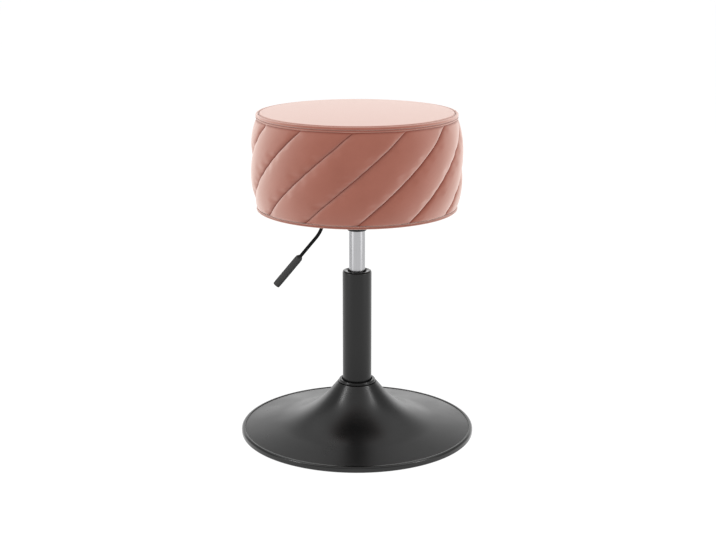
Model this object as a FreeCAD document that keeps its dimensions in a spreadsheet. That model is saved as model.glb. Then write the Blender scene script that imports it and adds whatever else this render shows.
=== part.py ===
import FreeCAD, Part
import math
import os

import Sketcher
from FreeCAD import Placement, Rotation, Vector

# Vanity stool: a round channelled velvet seat on a gas lift, on a trumpet base.
# Millimetres, +Z up, origin on the floor under the middle of the base.
# The release lever points along -X and lies in the plane Y = 0.

DIMENSIONS = {
    # Base
    "base_radius": 203.0,
    "ring_height": 10.0,
    "ring_lip": 3.0,
    "ring_wall": 6.4,
    "sheet_thick": 1.5,
    "rim_level": 9.2,
    "rim_slope": 9.0,
    "neck_level": 89.3,
    "neck_radius": 33.6,
    "neck_slope": 50.6,
    "flare_radius": 150.0,
    "collar_bottom": 90.3,
    "collar_top": 94.2,
    "collar_radius": 32.6,
    "weight_radius": 165.0,
    "weight_rise": 6.0,
    "weight_hub_rise": 12.5,
    "weight_hub_radius": 110.0,
    "flange_radius": 55.0,
    "flange_thick": 5.0,
    "hub_radius": 29.0,
    "hub_top": 86.0,
    "hub_bolt_circle": 44.0,
    "cover_screw_circle": 140.0,
    # Column and gas lift
    "column_radius": 25.0,
    "column_wall": 1.5,
    "column_bottom": 6.0,
    "column_top": 286.0,
    "lip_top": 289.2,
    "bush_bottom": 215.0,
    "seat_of_race": 15.0,
    "end_plate_thick": 3.0,
    "race_thick": 2.0,
    "ball_radius": 1.95,
    "ball_gap": 4.0,
    "ball_circle": 11.0,
    "rod_radius": 5.0,
    "rod_bottom": 7.5,
    "rod_top": 208.0,
    "buffer_height": 15.0,
    "running_gap": 0.06,
    "cylinder_radius": 14.0,
    "cylinder_wall": 1.4,
    "cylinder_bottom": 101.5,
    "taper_start": 352.0,
    "cylinder_top": 385.0,
    "taper_radius": 13.15,
    "pressure_radius": 12.2,
    "pressure_bore": 11.0,
    "pin_radius": 3.0,
    # Seat plate and lever
    "socket_bottom": 360.2,
    "socket_radius": 16.5,
    "plate_top": 401.2,
    "plate_thick": 2.5,
    "plate_width": 180.0,
    "tray_width": 96.0,
    "tray_bottom": 374.5,
    "plate_bolt_pitch": 150.0,
    "lever_level": 394.0,
    "lever_radius": 3.0,
    "pivot_reach": 26.0,
    "pivot_level": 387.3,
    "pivot_radius": 2.0,
    "first_bend_reach": 38.0,
    "first_bend_radius": 15.0,
    "first_slope": 68.0,
    "second_slope": 50.5,
    "second_bend_radius": 60.0,
    "grip_start_reach": 97.0,
    "grip_start_level": 314.0,
    "grip_length": 67.0,
    "grip_radius": 6.25,
    # Seat
    "seat_bottom": 399.0,
    "board_bottom": 402.0,
    "board_thick": 15.0,
    "board_radius": 160.0,
    "foam_top": 551.0,
    "band_bottom": 403.2,
    "channel_top": 550.5,
    "band_top": 556.5,
    "seam_radius": 166.4,
    "channel_edge_radius": 168.6,
    "edge_radius": 169.2,
    "bulge_radius": 178.4,
    "seam_share": 0.62,
    "channel_turn": 57.0,
    "channel_offset": -3.0,
    "piping_radius": 2.6,
    "piping_circle": 166.8,
    "piping_level": 559.2,
    "hem_radius": 2.8,
    "hem_circle": 167.2,
    "lining_radius": 141.0,
    "panel_radius": 163.9,
    "panel_edge_level": 560.0,
    "crown_level": 564.0,
}

CHANNELS = 12
BAND_SECTIONS = 13
HUB_BOLTS = 4
COVER_SCREWS = 6
BALLS = 12
STAPLES = 24
PLATE_BOLTS = 4

# Small fits that several sub-parts share
BUFFER_WASHER = 1.5
PISTON_STEM = 13.0
PIN_GAP = 0.08
LEVER_INNER_END = 8.0
GRIP_CAP = 6.0
TEE_BARREL = 4.0
TEE_RADIUS = 9.5
TEE_FLANGE = 1.2
BOARD_GAP = 0.3

doc = FreeCAD.newDocument("VanityStool")
sheet = doc.addObject("Spreadsheet::Sheet", "Dimensions")


class Size:
    """A length or angle that knows its value and the sheet expression behind it."""

    def __init__(self, value, text):
        self.value = value
        self.text = text

    def __add__(self, other):
        other = as_size(other)
        return Size(self.value + other.value, f"({self.text} + {other.text})")

    def __sub__(self, other):
        other = as_size(other)
        return Size(self.value - other.value, f"({self.text} - {other.text})")

    def __mul__(self, factor):
        return Size(self.value * factor, f"({self.text} * {factor})")

    def __neg__(self):
        return Size(-self.value, f"(-{self.text})")


def as_size(thing):
    """A plain number becomes a Size, and a Size stays as it is."""
    if isinstance(thing, Size):
        return thing
    return Size(float(thing), f"{float(thing)}")


def fill_sheet():
    """One row for each driving dimension: its name, and its value under that alias."""
    for row, (name, value) in enumerate(DIMENSIONS.items(), start=1):
        sheet.set(f"A{row}", name)
        sheet.set(f"B{row}", str(value))
        sheet.setAlias(f"B{row}", name)
    doc.recompute()


def dim(name):
    """The named driving dimension."""
    return Size(DIMENSIONS[name], f"Dimensions.{name}")


# Sketches and bodies


def origin_feature(body, role):
    """The body's own origin plane or axis of that role."""
    return next(item for item in body.Origin.OriginFeatures if item.Role == role)


def new_body(name, level=0.0):
    """An empty body under its own label, standing at a height above the floor."""
    body = doc.addObject("PartDesign::Body", name)
    body.Label = name
    set_level(body, level)
    return body


def set_level(item, level):
    """Stand a sub-part at a height that follows the sheet."""
    level = as_size(level)
    item.Placement = Placement(Vector(0, 0, level.value), Rotation())
    item.setExpression("Placement.Base.z", level.text)


def new_sketch(body, name, role):
    """A sketch that lies flat on one of the body's origin planes."""
    sketch = body.newObject("Sketcher::SketchObject", name)
    sketch.AttachmentSupport = [(origin_feature(body, role), "")]
    sketch.MapMode = "FlatFace"
    return sketch


def drive(sketch, kind, places, size):
    """Add one dimension to a sketch and bind it to the sheet."""
    index = sketch.addConstraint(Sketcher.Constraint(kind, *places, size.value))
    sketch.setExpression(f"Constraints[{index}]", size.text)


def pin_point(sketch, edge, end, x, y):
    """Hold one end of an edge at (x, y) from the sketch's origin."""
    if abs(x.value) < 1e-9:
        sketch.addConstraint(Sketcher.Constraint("PointOnObject", edge, end, -2))
    else:
        drive(sketch, "DistanceX", (-1, 1, edge, end), x)
    if abs(y.value) < 1e-9:
        sketch.addConstraint(Sketcher.Constraint("PointOnObject", edge, end, -1))
    else:
        drive(sketch, "DistanceY", (-1, 1, edge, end), y)


def arc_between(start, finish, radius):
    """The short arc from start to finish: a positive radius turns left on the way."""
    chord = finish - start
    half = chord.Length / 2
    left = Vector(-chord.y, chord.x, 0).normalize()
    rise = math.sqrt(max(radius * radius - half * half, 0.0))
    centre = (start + finish) * 0.5 + left * math.copysign(rise, radius)
    first, last = (start, finish) if radius > 0 else (finish, start)
    angles = [math.atan2(point.y - centre.y, point.x - centre.x) for point in (first, last)]
    if angles[1] < angles[0]:
        angles[1] += 2 * math.pi
    circle = Part.Circle(centre, Vector(0, 0, 1), abs(radius))
    return Part.ArcOfCircle(circle, *angles)


def add_edge(sketch, start, finish, radius):
    """Draw one edge and return its number and which of its ends comes first."""
    if radius is None:
        return sketch.addGeometry(Part.LineSegment(start, finish)), 1, 2
    number = sketch.addGeometry(arc_between(start, finish, radius.value))
    drive(sketch, "Radius", (number,), Size(abs(radius.value), f"abs({radius.text})"))
    return (number, 1, 2) if radius.value > 0 else (number, 2, 1)


def add_outline(sketch, points, closed=True):
    """Join points (x, y) or (x, y, radius); a radius bends the edge that arrives there."""
    corners = [(as_size(point[0]), as_size(point[1])) for point in points]
    bends = [as_size(point[2]) if len(point) > 2 else None for point in points]
    spots = [Vector(x.value, y.value, 0) for x, y in corners]
    count = len(points) if closed else len(points) - 1
    edges = []
    for index in range(count):
        after = (index + 1) % len(points)
        edges.append(add_edge(sketch, spots[index], spots[after], bends[after]))
    for index, (number, first, _) in enumerate(edges):
        if index or closed:
            before = edges[index - 1]
            joint = (before[0], before[2], number, first)
            sketch.addConstraint(Sketcher.Constraint("Coincident", *joint))
        pin_point(sketch, number, first, *corners[index])
    if not closed:
        pin_point(sketch, edges[-1][0], edges[-1][2], *corners[-1])


def add_circle(sketch, x, y, radius):
    """A full circle of a driven radius about (x, y)."""
    x, y, radius = as_size(x), as_size(y), as_size(radius)
    circle = Part.Circle(Vector(x.value, y.value, 0), Vector(0, 0, 1), radius.value)
    number = sketch.addGeometry(circle)
    drive(sketch, "Radius", (number,), radius)
    pin_point(sketch, number, 3, x, y)


def add_rectangle(sketch, x, y, width, height):
    """A rectangle about (x, y) of a driven width and height."""
    x, y, width, height = (as_size(item) for item in (x, y, width, height))
    left, right = x - width * 0.5, x + width * 0.5
    low, high = y - height * 0.5, y + height * 0.5
    add_outline(sketch, [(left, low), (right, low), (right, high), (left, high)])


def turned(name, outline, level=0.0):
    """A piece turned about Z from its half section, given as (radius, height)."""
    body = new_body(name, level)
    sketch = new_sketch(body, f"{name}_section", "XZ_Plane")
    add_outline(sketch, outline)
    turn = body.newObject("PartDesign::Revolution", f"{name}_turn")
    turn.Profile = sketch
    turn.ReferenceAxis = (sketch, ["V_Axis"])
    turn.Angle = 360
    body.Tip = turn
    return body


def ring_outline(inner, outer, height):
    """Half section of a plain ring or, with no inner radius, of a disc."""
    return [(inner, 0), (outer, 0), (outer, height), (inner, height)]


def pad(body, name, draw, length, start=0.0):
    """Add material upwards from a height in the body, in the shape that draw sketches."""
    sketch = new_sketch(body, f"{name}_shape", "XY_Plane")
    start = as_size(start)
    sketch.AttachmentOffset = Placement(Vector(0, 0, start.value), Rotation())
    sketch.setExpression("AttachmentOffset.Base.z", start.text)
    draw(sketch)
    feature = body.newObject("PartDesign::Pad", name)
    feature.Profile = sketch
    length = as_size(length)
    feature.Length = length.value
    feature.setExpression("Length", length.text)
    body.Tip = feature
    return feature


def cut(body, name, draw, length, start=0.0):
    """Take material away upwards from a height in the body, and make sure that it went."""
    doc.recompute()
    before = body.Shape.Volume
    sketch = new_sketch(body, f"{name}_shape", "XY_Plane")
    start = as_size(start)
    sketch.AttachmentOffset = Placement(Vector(0, 0, start.value), Rotation())
    sketch.setExpression("AttachmentOffset.Base.z", start.text)
    draw(sketch)
    feature = body.newObject("PartDesign::Pocket", name)
    feature.Profile = sketch
    length = as_size(length)
    feature.Length = length.value
    feature.setExpression("Length", length.text)
    feature.Reversed = True
    body.Tip = feature
    doc.recompute()
    if body.Shape.Volume > before - 1e-3:
        raise RuntimeError(f"{name} cuts nothing")
    return feature


def repeat_round(body, features, count):
    """Repeat features evenly round the Z axis."""
    pattern = body.newObject("PartDesign::PolarPattern", f"{features[0].Name}_ring")
    pattern.Originals = features
    pattern.Axis = (origin_feature(body, "Z_Axis"), [""])
    pattern.Angle = 360
    pattern.Occurrences = count
    body.Tip = pattern


def drilled(body, name, circle, radius, depth, count, start=0.0):
    """Holes evenly round a bolt circle."""

    def draw(sketch):
        add_circle(sketch, circle, 0, radius)

    feature = cut(body, name, draw, depth, start)
    repeat_round(body, [feature], count)


def turned_at(body, name, circle, outline):
    """Material turned about an upright axis that stands on a bolt circle."""
    sketch = new_sketch(body, f"{name}_section", "XZ_Plane")
    circle = as_size(circle)
    add_outline(sketch, [(circle + point[0], *point[1:]) for point in outline])
    axis = sketch.addGeometry(
        Part.LineSegment(Vector(circle.value, 0, 0), Vector(circle.value, 1, 0)), True
    )
    pin_point(sketch, axis, 1, circle, as_size(0))
    pin_point(sketch, axis, 2, circle, as_size(1))
    turn = body.newObject("PartDesign::Revolution", name)
    turn.Profile = sketch
    turn.ReferenceAxis = (sketch, ["Axis0"])
    turn.Angle = 360
    body.Tip = turn
    return turn


# Base


def trumpet_line(offset=0.0):
    """Corner points of the trumpet's skin: neck, flare start, flare end and rim.

    The neck line and the rim line meet at a corner, and the flare is the arc of
    flare_radius that touches both. The offset moves the whole line down and inwards.
    """
    neck_angle = math.radians(DIMENSIONS["neck_slope"])
    rim_angle = math.radians(DIMENSIONS["rim_slope"])
    neck_way = Vector(math.cos(neck_angle), -math.sin(neck_angle), 0)
    rim_way = Vector(-math.cos(rim_angle), math.sin(rim_angle), 0)
    neck_inward = Vector(-math.sin(neck_angle), -math.cos(neck_angle), 0)
    rim_inward = Vector(-math.sin(rim_angle), -math.cos(rim_angle), 0)
    neck = Vector(DIMENSIONS["neck_radius"], DIMENSIONS["neck_level"], 0) + neck_inward * offset
    rim_radius = DIMENSIONS["base_radius"] - DIMENSIONS["ring_wall"]
    rim = Vector(rim_radius, DIMENSIONS["rim_level"], 0) + rim_inward * offset
    gap = rim - neck
    cross = neck_way.x * rim_way.y - neck_way.y * rim_way.x
    along_neck = (gap.x * rim_way.y - gap.y * rim_way.x) / cross
    corner = neck + neck_way * along_neck
    radius = DIMENSIONS["flare_radius"] + offset
    tangent = radius * math.tan((neck_angle - rim_angle) / 2)
    return neck, corner - neck_way * tangent, corner - rim_way * tangent, rim, radius


def make_base_shell():
    """Spun steel trumpet: sloping neck, one wide flare, shallow dish and a short skirt."""
    neck, flare_top, flare_end, rim, radius = trumpet_line()
    inner_neck, inner_top, inner_end, inner_rim, inner_radius = trumpet_line(
        DIMENSIONS["sheet_thick"]
    )
    skirt = dim("base_radius") - dim("ring_wall")
    inner_skirt = skirt - dim("sheet_thick")
    inner_drop = math.tan(math.radians(DIMENSIONS["rim_slope"])) * (
        inner_rim.x - inner_skirt.value
    )
    outline = [
        (inner_neck.x, inner_neck.y),
        (dim("neck_radius"), dim("neck_level")),
        (flare_top.x, flare_top.y),
        (flare_end.x, flare_end.y, radius),
        (skirt, dim("rim_level")),
        (skirt, dim("ring_lip")),
        (inner_skirt, dim("ring_lip")),
        (inner_skirt, inner_rim.y + inner_drop),
        (inner_end.x, inner_end.y),
        (inner_top.x, inner_top.y, -inner_radius),
    ]
    turned("base_shell", outline)


def make_edge_ring():
    """Rubber rim: a lip under the skirt and a rounded band that stands proud of it."""
    bore = dim("base_radius") - dim("ring_wall")
    outer = dim("base_radius")
    top = dim("ring_height")
    lip = dim("ring_lip")
    foot_width = 8.6
    foot_round = 2.0
    top_round = 3.7
    bore_round = 1.0
    outline = [
        (bore - foot_width, 0),
        (outer - foot_round, 0),
        (outer, foot_round, foot_round),
        (outer, top - top_round),
        (outer - top_round, top, top_round),
        (bore + bore_round, top),
        (bore, top - bore_round, bore_round),
        (bore, lip),
        (bore - foot_width, lip),
    ]
    turned("edge_ring", outline)


def make_base_plate():
    """Sheet that closes the underside, with a hole under the gas lift's clip."""
    edge_gap = 0.3
    clip_opening = 12.0
    screw_hole = 2.2
    thick = dim("sheet_thick")
    radius = dim("base_radius") - dim("ring_wall") - thick - edge_gap
    body = turned("base_plate", ring_outline(clip_opening, radius, thick), dim("ring_lip"))
    drilled(body, "cover_hole", dim("cover_screw_circle"), screw_hole, thick, COVER_SCREWS)


def make_base_weight():
    """Cast disc that keeps the stool from tipping: thin edge, raised hub seat."""
    bore = dim("column_radius") + 1
    edge_bevel = 1.0
    hub_bolt_bore = 4.0
    screw_bore = 2.0
    screw_depth = 5.0
    rise = dim("weight_hub_rise")
    outline = [
        (bore, 0),
        (dim("weight_radius"), 0),
        (dim("weight_radius"), dim("weight_rise") - edge_bevel),
        (dim("weight_radius") - edge_bevel, dim("weight_rise")),
        (dim("weight_hub_radius"), rise),
        (bore, rise),
    ]
    body = turned("base_weight", outline, dim("ring_lip") + dim("sheet_thick"))
    drilled(body, "hub_bolt_bore", dim("hub_bolt_circle"), hub_bolt_bore, rise, HUB_BOLTS)
    circle = dim("cover_screw_circle")
    drilled(body, "cover_screw_bore", circle, screw_bore, screw_depth, COVER_SCREWS)


def flange_level():
    """Where the hub's flange sits on the weight."""
    return dim("ring_lip") + dim("sheet_thick") + dim("weight_hub_rise")


def make_hub_socket():
    """Flanged tube that grips the foot of the column."""
    column = dim("column_radius")
    flange = dim("flange_radius")
    tube = dim("hub_radius")
    thick = dim("flange_thick")
    top = dim("hub_top") - flange_level()
    bevel = 1.0
    fillet = 3.0
    bolt_hole = 4.3
    outline = [
        (column, 0),
        (flange, 0),
        (flange, thick - bevel),
        (flange - bevel, thick),
        (tube + fillet, thick),
        (tube, thick + fillet, -fillet),
        (tube, top - bevel),
        (tube - bevel, top),
        (column, top),
    ]
    body = turned("hub_socket", outline, flange_level())
    drilled(body, "flange_hole", dim("hub_bolt_circle"), bolt_hole, thick, HUB_BOLTS)


def make_hexagon(sketch, circle, across):
    """A hexagon of a width across flats about a bolt circle's first place."""
    circle, across = as_size(circle), as_size(across)
    corner = across * (1 / math.sqrt(3))
    shape = []
    for step in range(6):
        angle = math.radians(60 * step)
        shape.append((circle + corner * math.cos(angle), corner * math.sin(angle)))
    add_outline(sketch, shape)


def make_bolts(name, level, circle, count, shank, length, across, head):
    """Hexagon bolts round a circle, their heads up, each a solid of its own."""
    body = new_body(name, level)

    def draw_shank(sketch):
        add_circle(sketch, circle, 0, shank)

    def draw_head(sketch):
        make_hexagon(sketch, circle, across)

    shank_pad = pad(body, f"{name}_shank", draw_shank, length)
    head_pad = pad(body, f"{name}_head", draw_head, head, length)
    repeat_round(body, [shank_pad, head_pad], count)


def make_washers(name, level, circle, count, bore, radius, thick):
    """Flat washers round a circle, each a solid of its own."""
    body = new_body(name, level)

    def draw(sketch):
        add_circle(sketch, circle, 0, radius)
        add_circle(sketch, circle, 0, bore)

    washer = pad(body, f"{name}_disc", draw, thick)
    repeat_round(body, [washer], count)


def make_base_fasteners():
    """Bolts that hold the hub to the weight, and screws that hold the cover."""
    circle = dim("hub_bolt_circle")
    washer_hole, washer_radius, washer = 4.3, 8.0, 1.6
    flange_top = flange_level() + dim("flange_thick")
    make_washers("hub_washers", flange_top, circle, HUB_BOLTS, washer_hole, washer_radius, washer)
    shank, across_flats, head = 4.0, 13.0, 5.3
    foot = dim("ring_lip") + dim("sheet_thick") + 2
    reach = flange_top + washer - foot
    make_bolts("hub_bolts", foot, circle, HUB_BOLTS, shank, reach, across_flats, head)
    screw_radius, screw_head, head_edge, head_rise, screw_length = 2.0, 3.8, 0.5, 1.3, 6.5
    screws = new_body("cover_screws", dim("ring_lip") - head_rise)
    outline = [
        (0, 0),
        (screw_head, 0),
        (screw_head, head_edge),
        (screw_radius, head_rise),
        (screw_radius, screw_length),
        (0, screw_length),
    ]
    screw = turned_at(screws, "cover_screw", dim("cover_screw_circle"), outline)
    repeat_round(screws, [screw], COVER_SCREWS)


def make_neck_ring():
    """Moulded collar on the hub: a spigot inside the neck, a groove, a rounded shoulder."""
    height = dim("collar_top") - dim("collar_bottom")
    bore = dim("column_radius") + 1.6
    outer = dim("collar_radius")
    spigot = outer - 0.4
    spigot_foot = dim("hub_top") - dim("collar_bottom")
    spigot_top = -1.6
    groove = outer - 2.2
    groove_foot = -1.0
    lean = 1.6
    shoulder_round = 2.1
    bore_round = 0.6
    outline = [
        (bore, spigot_foot),
        (spigot, spigot_foot),
        (spigot, spigot_top),
        (groove, groove_foot),
        (groove, 0),
        (outer, 0),
        (outer - lean, height - 1.6),
        (outer - 3.4, height, shoulder_round),
        (bore + bore_round, height),
        (bore, height - bore_round, bore_round),
    ]
    turned("neck_ring", outline, dim("collar_bottom"))


# Column, bearing and gas lift


def make_column():
    """Outer tube, its pressed end plate and the plastic bush that guides the cylinder."""
    outer = dim("column_radius")
    bore = outer - dim("column_wall")
    height = dim("column_top") - dim("column_bottom")
    turned("column_tube", ring_outline(bore, outer, height), dim("column_bottom"))
    thick = dim("end_plate_thick")
    plate = ring_outline(dim("rod_radius") + dim("running_gap"), bore, thick)
    turned("column_end_plate", plate, dim("seat_of_race") - thick)
    slide = dim("cylinder_radius") + dim("running_gap")
    tube_top = dim("column_top") - dim("bush_bottom")
    lip = dim("lip_top") - dim("bush_bottom")
    lead_in = 1.0
    lip_edge = 0.6
    lip_round = 2.6
    mouth_round = 1.4
    mouth_foot = 5.0
    outline = [
        (slide, 0),
        (bore - lead_in, 0),
        (bore, lead_in),
        (bore, tube_top),
        (outer, tube_top),
        (outer, tube_top + lip_edge),
        (outer - lip_round, lip, lip_round),
        (slide + 2 + mouth_round, lip),
        (slide + 2, lip - mouth_round, mouth_round),
        (slide + 1.6, lip - mouth_foot),
        (slide, lip - mouth_foot - lead_in),
    ]
    turned("guide_bush", outline, dim("bush_bottom"))


def make_bearing():
    """Thrust race at the foot of the column: two flat races, a cage and its balls."""
    base = dim("seat_of_race")
    thick = dim("race_thick")
    race = 16.5
    ring = dim("ball_circle")
    ball_radius = dim("ball_radius")
    turned("lower_race", ring_outline(dim("rod_radius") + 0.8, race, thick), base)
    cage_lift, cage_thick = 1.2, 1.6
    cage_outside, cage_inside = ring + 4, ring - 4.2
    cage = new_body("ball_cage", base + thick + cage_lift)

    def draw_cage(sketch):
        add_circle(sketch, 0, 0, cage_outside)
        add_circle(sketch, 0, 0, cage_inside)

    pad(cage, "cage_ring", draw_cage, cage_thick)
    drilled(cage, "cage_pocket", ring, ball_radius + 0.05, cage_thick, BALLS)
    balls = new_body("bearing_balls", base + thick + dim("ball_gap") * 0.5)
    half_disc = [(0, -ball_radius), (ball_radius, 0, ball_radius), (0, ball_radius, ball_radius)]
    ball = turned_at(balls, "bearing_ball", ring, half_disc)
    repeat_round(balls, [ball], BALLS)
    upper = base + thick + dim("ball_gap")
    turned("upper_race", ring_outline(dim("rod_radius"), race, thick), upper)


def buffer_level():
    """Where the rubber buffer stands on the buffer washer."""
    races = dim("race_thick") * 2 + dim("ball_gap")
    return dim("seat_of_race") + races + BUFFER_WASHER


def make_rod():
    """Piston rod with its retaining clip, foot washer and rubber buffer."""
    radius = dim("rod_radius")
    foot = dim("rod_bottom")
    length = dim("rod_top") - foot
    bevel = 0.8
    groove_foot, groove_top, groove_depth = 1.5, 2.7, 0.9
    outline = [
        (0, 0),
        (radius - bevel, 0),
        (radius, bevel),
        (radius, groove_foot),
        (radius - groove_depth, groove_foot),
        (radius - groove_depth, groove_top),
        (radius, groove_top),
        (radius, length - PISTON_STEM),
        (radius - 1, length - PISTON_STEM),
        (radius - 1, length),
        (0, length),
    ]
    turned("piston_rod", outline, foot)
    clip_thick, clip_width = 1.1, 3.5
    clip = ring_outline(radius - groove_depth, radius + clip_width, clip_thick)
    turned("rod_clip", clip, foot + groove_foot + 0.05)
    washer_radius, washer_thick, gap = 11.0, 1.6, 0.1
    washer_level = dim("seat_of_race") - dim("end_plate_thick") - gap - washer_thick
    turned("foot_washer", ring_outline(radius, washer_radius, washer_thick), washer_level)
    buffer_washer = ring_outline(radius, 15, BUFFER_WASHER)
    turned("buffer_washer", buffer_washer, buffer_level() - BUFFER_WASHER)
    height = dim("buffer_height")
    foot_radius, waist_radius, head_radius = 14.0, 12.0, 13.0
    foot_height, head_height = 4.0, 3.0
    waist_curve, head_curve = 9.0, 4.0
    buffer_outline = [
        (radius, 0),
        (foot_radius, 0),
        (foot_radius, foot_height),
        (waist_radius, height * 0.5, -waist_curve),
        (head_radius, height - head_height),
        (head_radius - 2, height, head_curve),
        (radius, height),
    ]
    turned("rubber_buffer", buffer_outline, buffer_level())


def make_piston():
    """Piston on the rod's stem, the seal in its groove and the nut that holds it."""
    stem = dim("rod_radius") - 1
    outer = dim("pressure_bore") - dim("running_gap")
    height = 10.0
    seal_foot, seal_height, seal_depth = 3.6, 2.8, 2.4
    nut_height = PISTON_STEM - height - 0.2
    outline = [
        (stem, 0),
        (outer, 0),
        (outer, seal_foot),
        (outer - seal_depth, seal_foot),
        (outer - seal_depth, seal_foot + seal_height),
        (outer, seal_foot + seal_height),
        (outer, height),
        (stem, height),
    ]
    level = dim("rod_top") - PISTON_STEM
    turned("piston", outline, level)
    seal = ring_outline(outer - seal_depth, outer, seal_height)
    turned("piston_seal", seal, level + seal_foot)
    turned("piston_nut", ring_outline(stem, stem + 3, nut_height), level + height)


def taper_at(level):
    """Radius of the cylinder's tapered head at a height above the floor."""
    run = DIMENSIONS["cylinder_top"] - DIMENSIONS["taper_start"]
    fall = DIMENSIONS["cylinder_radius"] - DIMENSIONS["taper_radius"]
    return DIMENSIONS["cylinder_radius"] - fall * (level - DIMENSIONS["taper_start"]) / run


def make_cylinder():
    """Sliding gas cylinder: a chromed tube with a tapered, closed head."""
    foot = dim("cylinder_bottom")
    outer = dim("cylinder_radius")
    bore = outer - dim("cylinder_wall")
    start = dim("taper_start") - foot
    top = dim("cylinder_top") - foot
    head = dim("taper_radius")
    pin_bore = dim("pin_radius") + PIN_GAP
    bevel = 0.8
    head_thick = 2.0
    outline = [
        (bore, 0),
        (outer - bevel, 0),
        (outer, bevel),
        (outer, start),
        (head, top - bevel),
        (head - bevel, top),
        (pin_bore, top),
        (pin_bore, top - head_thick),
        (head - 2.2, top - head_thick),
        (bore, start - 4),
    ]
    turned("lift_cylinder", outline, foot)


def make_cylinder_inside():
    """Rod guide, rod seal, pressure tube and valve body inside the cylinder."""
    foot = dim("cylinder_bottom")
    bore = dim("cylinder_radius") - dim("cylinder_wall")
    slide = dim("rod_radius") + dim("running_gap")
    guide_level, guide_height = 2.0, 14.0
    seal_level, seal_height = 16.2, 5.0
    tube_level, tube_height = 21.2, 226.0
    turned("rod_guide", ring_outline(slide, bore, guide_height), foot + guide_level)
    turned("rod_seal", ring_outline(slide, bore, seal_height), foot + seal_level)
    tube = ring_outline(dim("pressure_bore"), dim("pressure_radius"), tube_height)
    turned("pressure_tube", tube, foot + tube_level)
    valve_radius = dim("pressure_bore") - 0.4
    valve_height, floor_thick, head_gap = 34.0, 6.0, 2.2
    pin_bore = dim("pin_radius") + PIN_GAP
    valve = [
        (pin_bore, floor_thick),
        (0, floor_thick),
        (0, 0),
        (valve_radius, 0),
        (valve_radius, valve_height),
        (pin_bore, valve_height),
    ]
    turned("valve_body", valve, dim("cylinder_top") - head_gap - valve_height)


def make_release_pin():
    """Pin that the lever presses: a straight shank under a flat domed button."""
    length = 22.5
    button_radius, button_edge, dome_rise = 4.0, 1.3, 1.3
    dome = (button_radius**2 + dome_rise**2) / (2 * dome_rise)
    button_foot = length - dome_rise - button_edge
    top = dim("lever_level") - dim("lever_radius") - 0.1
    outline = [
        (0, 0),
        (dim("pin_radius"), 0),
        (dim("pin_radius"), button_foot),
        (button_radius, button_foot),
        (button_radius, length - dome_rise),
        (0, length, dome),
    ]
    turned("release_pin", outline, top - length)


# Seat plate and lever


def make_seat_socket():
    """Tapered socket welded through the seat plate; the cylinder's head wedges in it."""
    low = dim("socket_bottom")
    high = dim("cylinder_top") - 0.6
    height = high - low
    radius = dim("socket_radius")
    foot_round = 0.8
    bevel = 0.6
    outline = [
        (taper_at(low.value), 0),
        (radius - foot_round, 0),
        (radius, foot_round, foot_round),
        (radius, height - bevel),
        (radius - bevel, height),
        (taper_at(high.value), height),
    ]
    turned("seat_socket", outline, low)


def four_circles(radius):
    """Function that draws a circle at each of the seat plate's four bolts."""
    half_pitch = dim("plate_bolt_pitch") * 0.5

    def draw(sketch):
        for side in (1, -1):
            for end in (1, -1):
                add_circle(sketch, half_pitch * side, half_pitch * end, radius)

    return draw


def rounded_square(width, corner):
    """Function that draws a square with rounded corners about the origin."""
    width, corner = as_size(width), as_size(corner)

    def draw(sketch):
        half = width * 0.5
        flat = half - corner
        add_outline(
            sketch,
            [
                (flat, -half),
                (half, -flat, corner),
                (half, flat),
                (flat, half, corner),
                (-flat, half),
                (-half, flat, corner),
                (-half, -flat),
                (-flat, -half, corner),
            ],
        )

    return draw


def make_mount_plate():
    """Pressed seat plate: a shallow tray for the lever, with a bolting flange."""
    thick = dim("plate_thick")
    depth = dim("plate_top") - dim("tray_bottom")
    tray = dim("tray_width")
    tray_corner, plate_corner = 14.0, 20.0
    slot_length, slot_width, slot_foot = 20.0, 10.0, 9.0
    bolt_hole = 3.3
    body = new_body("mount_plate", dim("tray_bottom"))
    flange = rounded_square(dim("plate_width"), plate_corner)
    hollow = rounded_square(tray - thick * 2, as_size(tray_corner) - thick)
    pad(body, "tray_block", rounded_square(tray, tray_corner), depth)
    pad(body, "flange_plate", flange, thick, depth - thick)
    cut(body, "tray_hollow", hollow, depth, thick)

    def draw_socket_hole(sketch):
        add_circle(sketch, 0, 0, dim("socket_radius"))

    def draw_lever_slot(sketch):
        add_rectangle(sketch, -(tray * 0.5), 0, slot_length, slot_width)

    cut(body, "socket_hole", draw_socket_hole, thick)
    cut(body, "lever_slot", draw_lever_slot, depth - thick - slot_foot, slot_foot)
    cut(body, "bolt_holes", four_circles(bolt_hole), thick, depth - thick)


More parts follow.
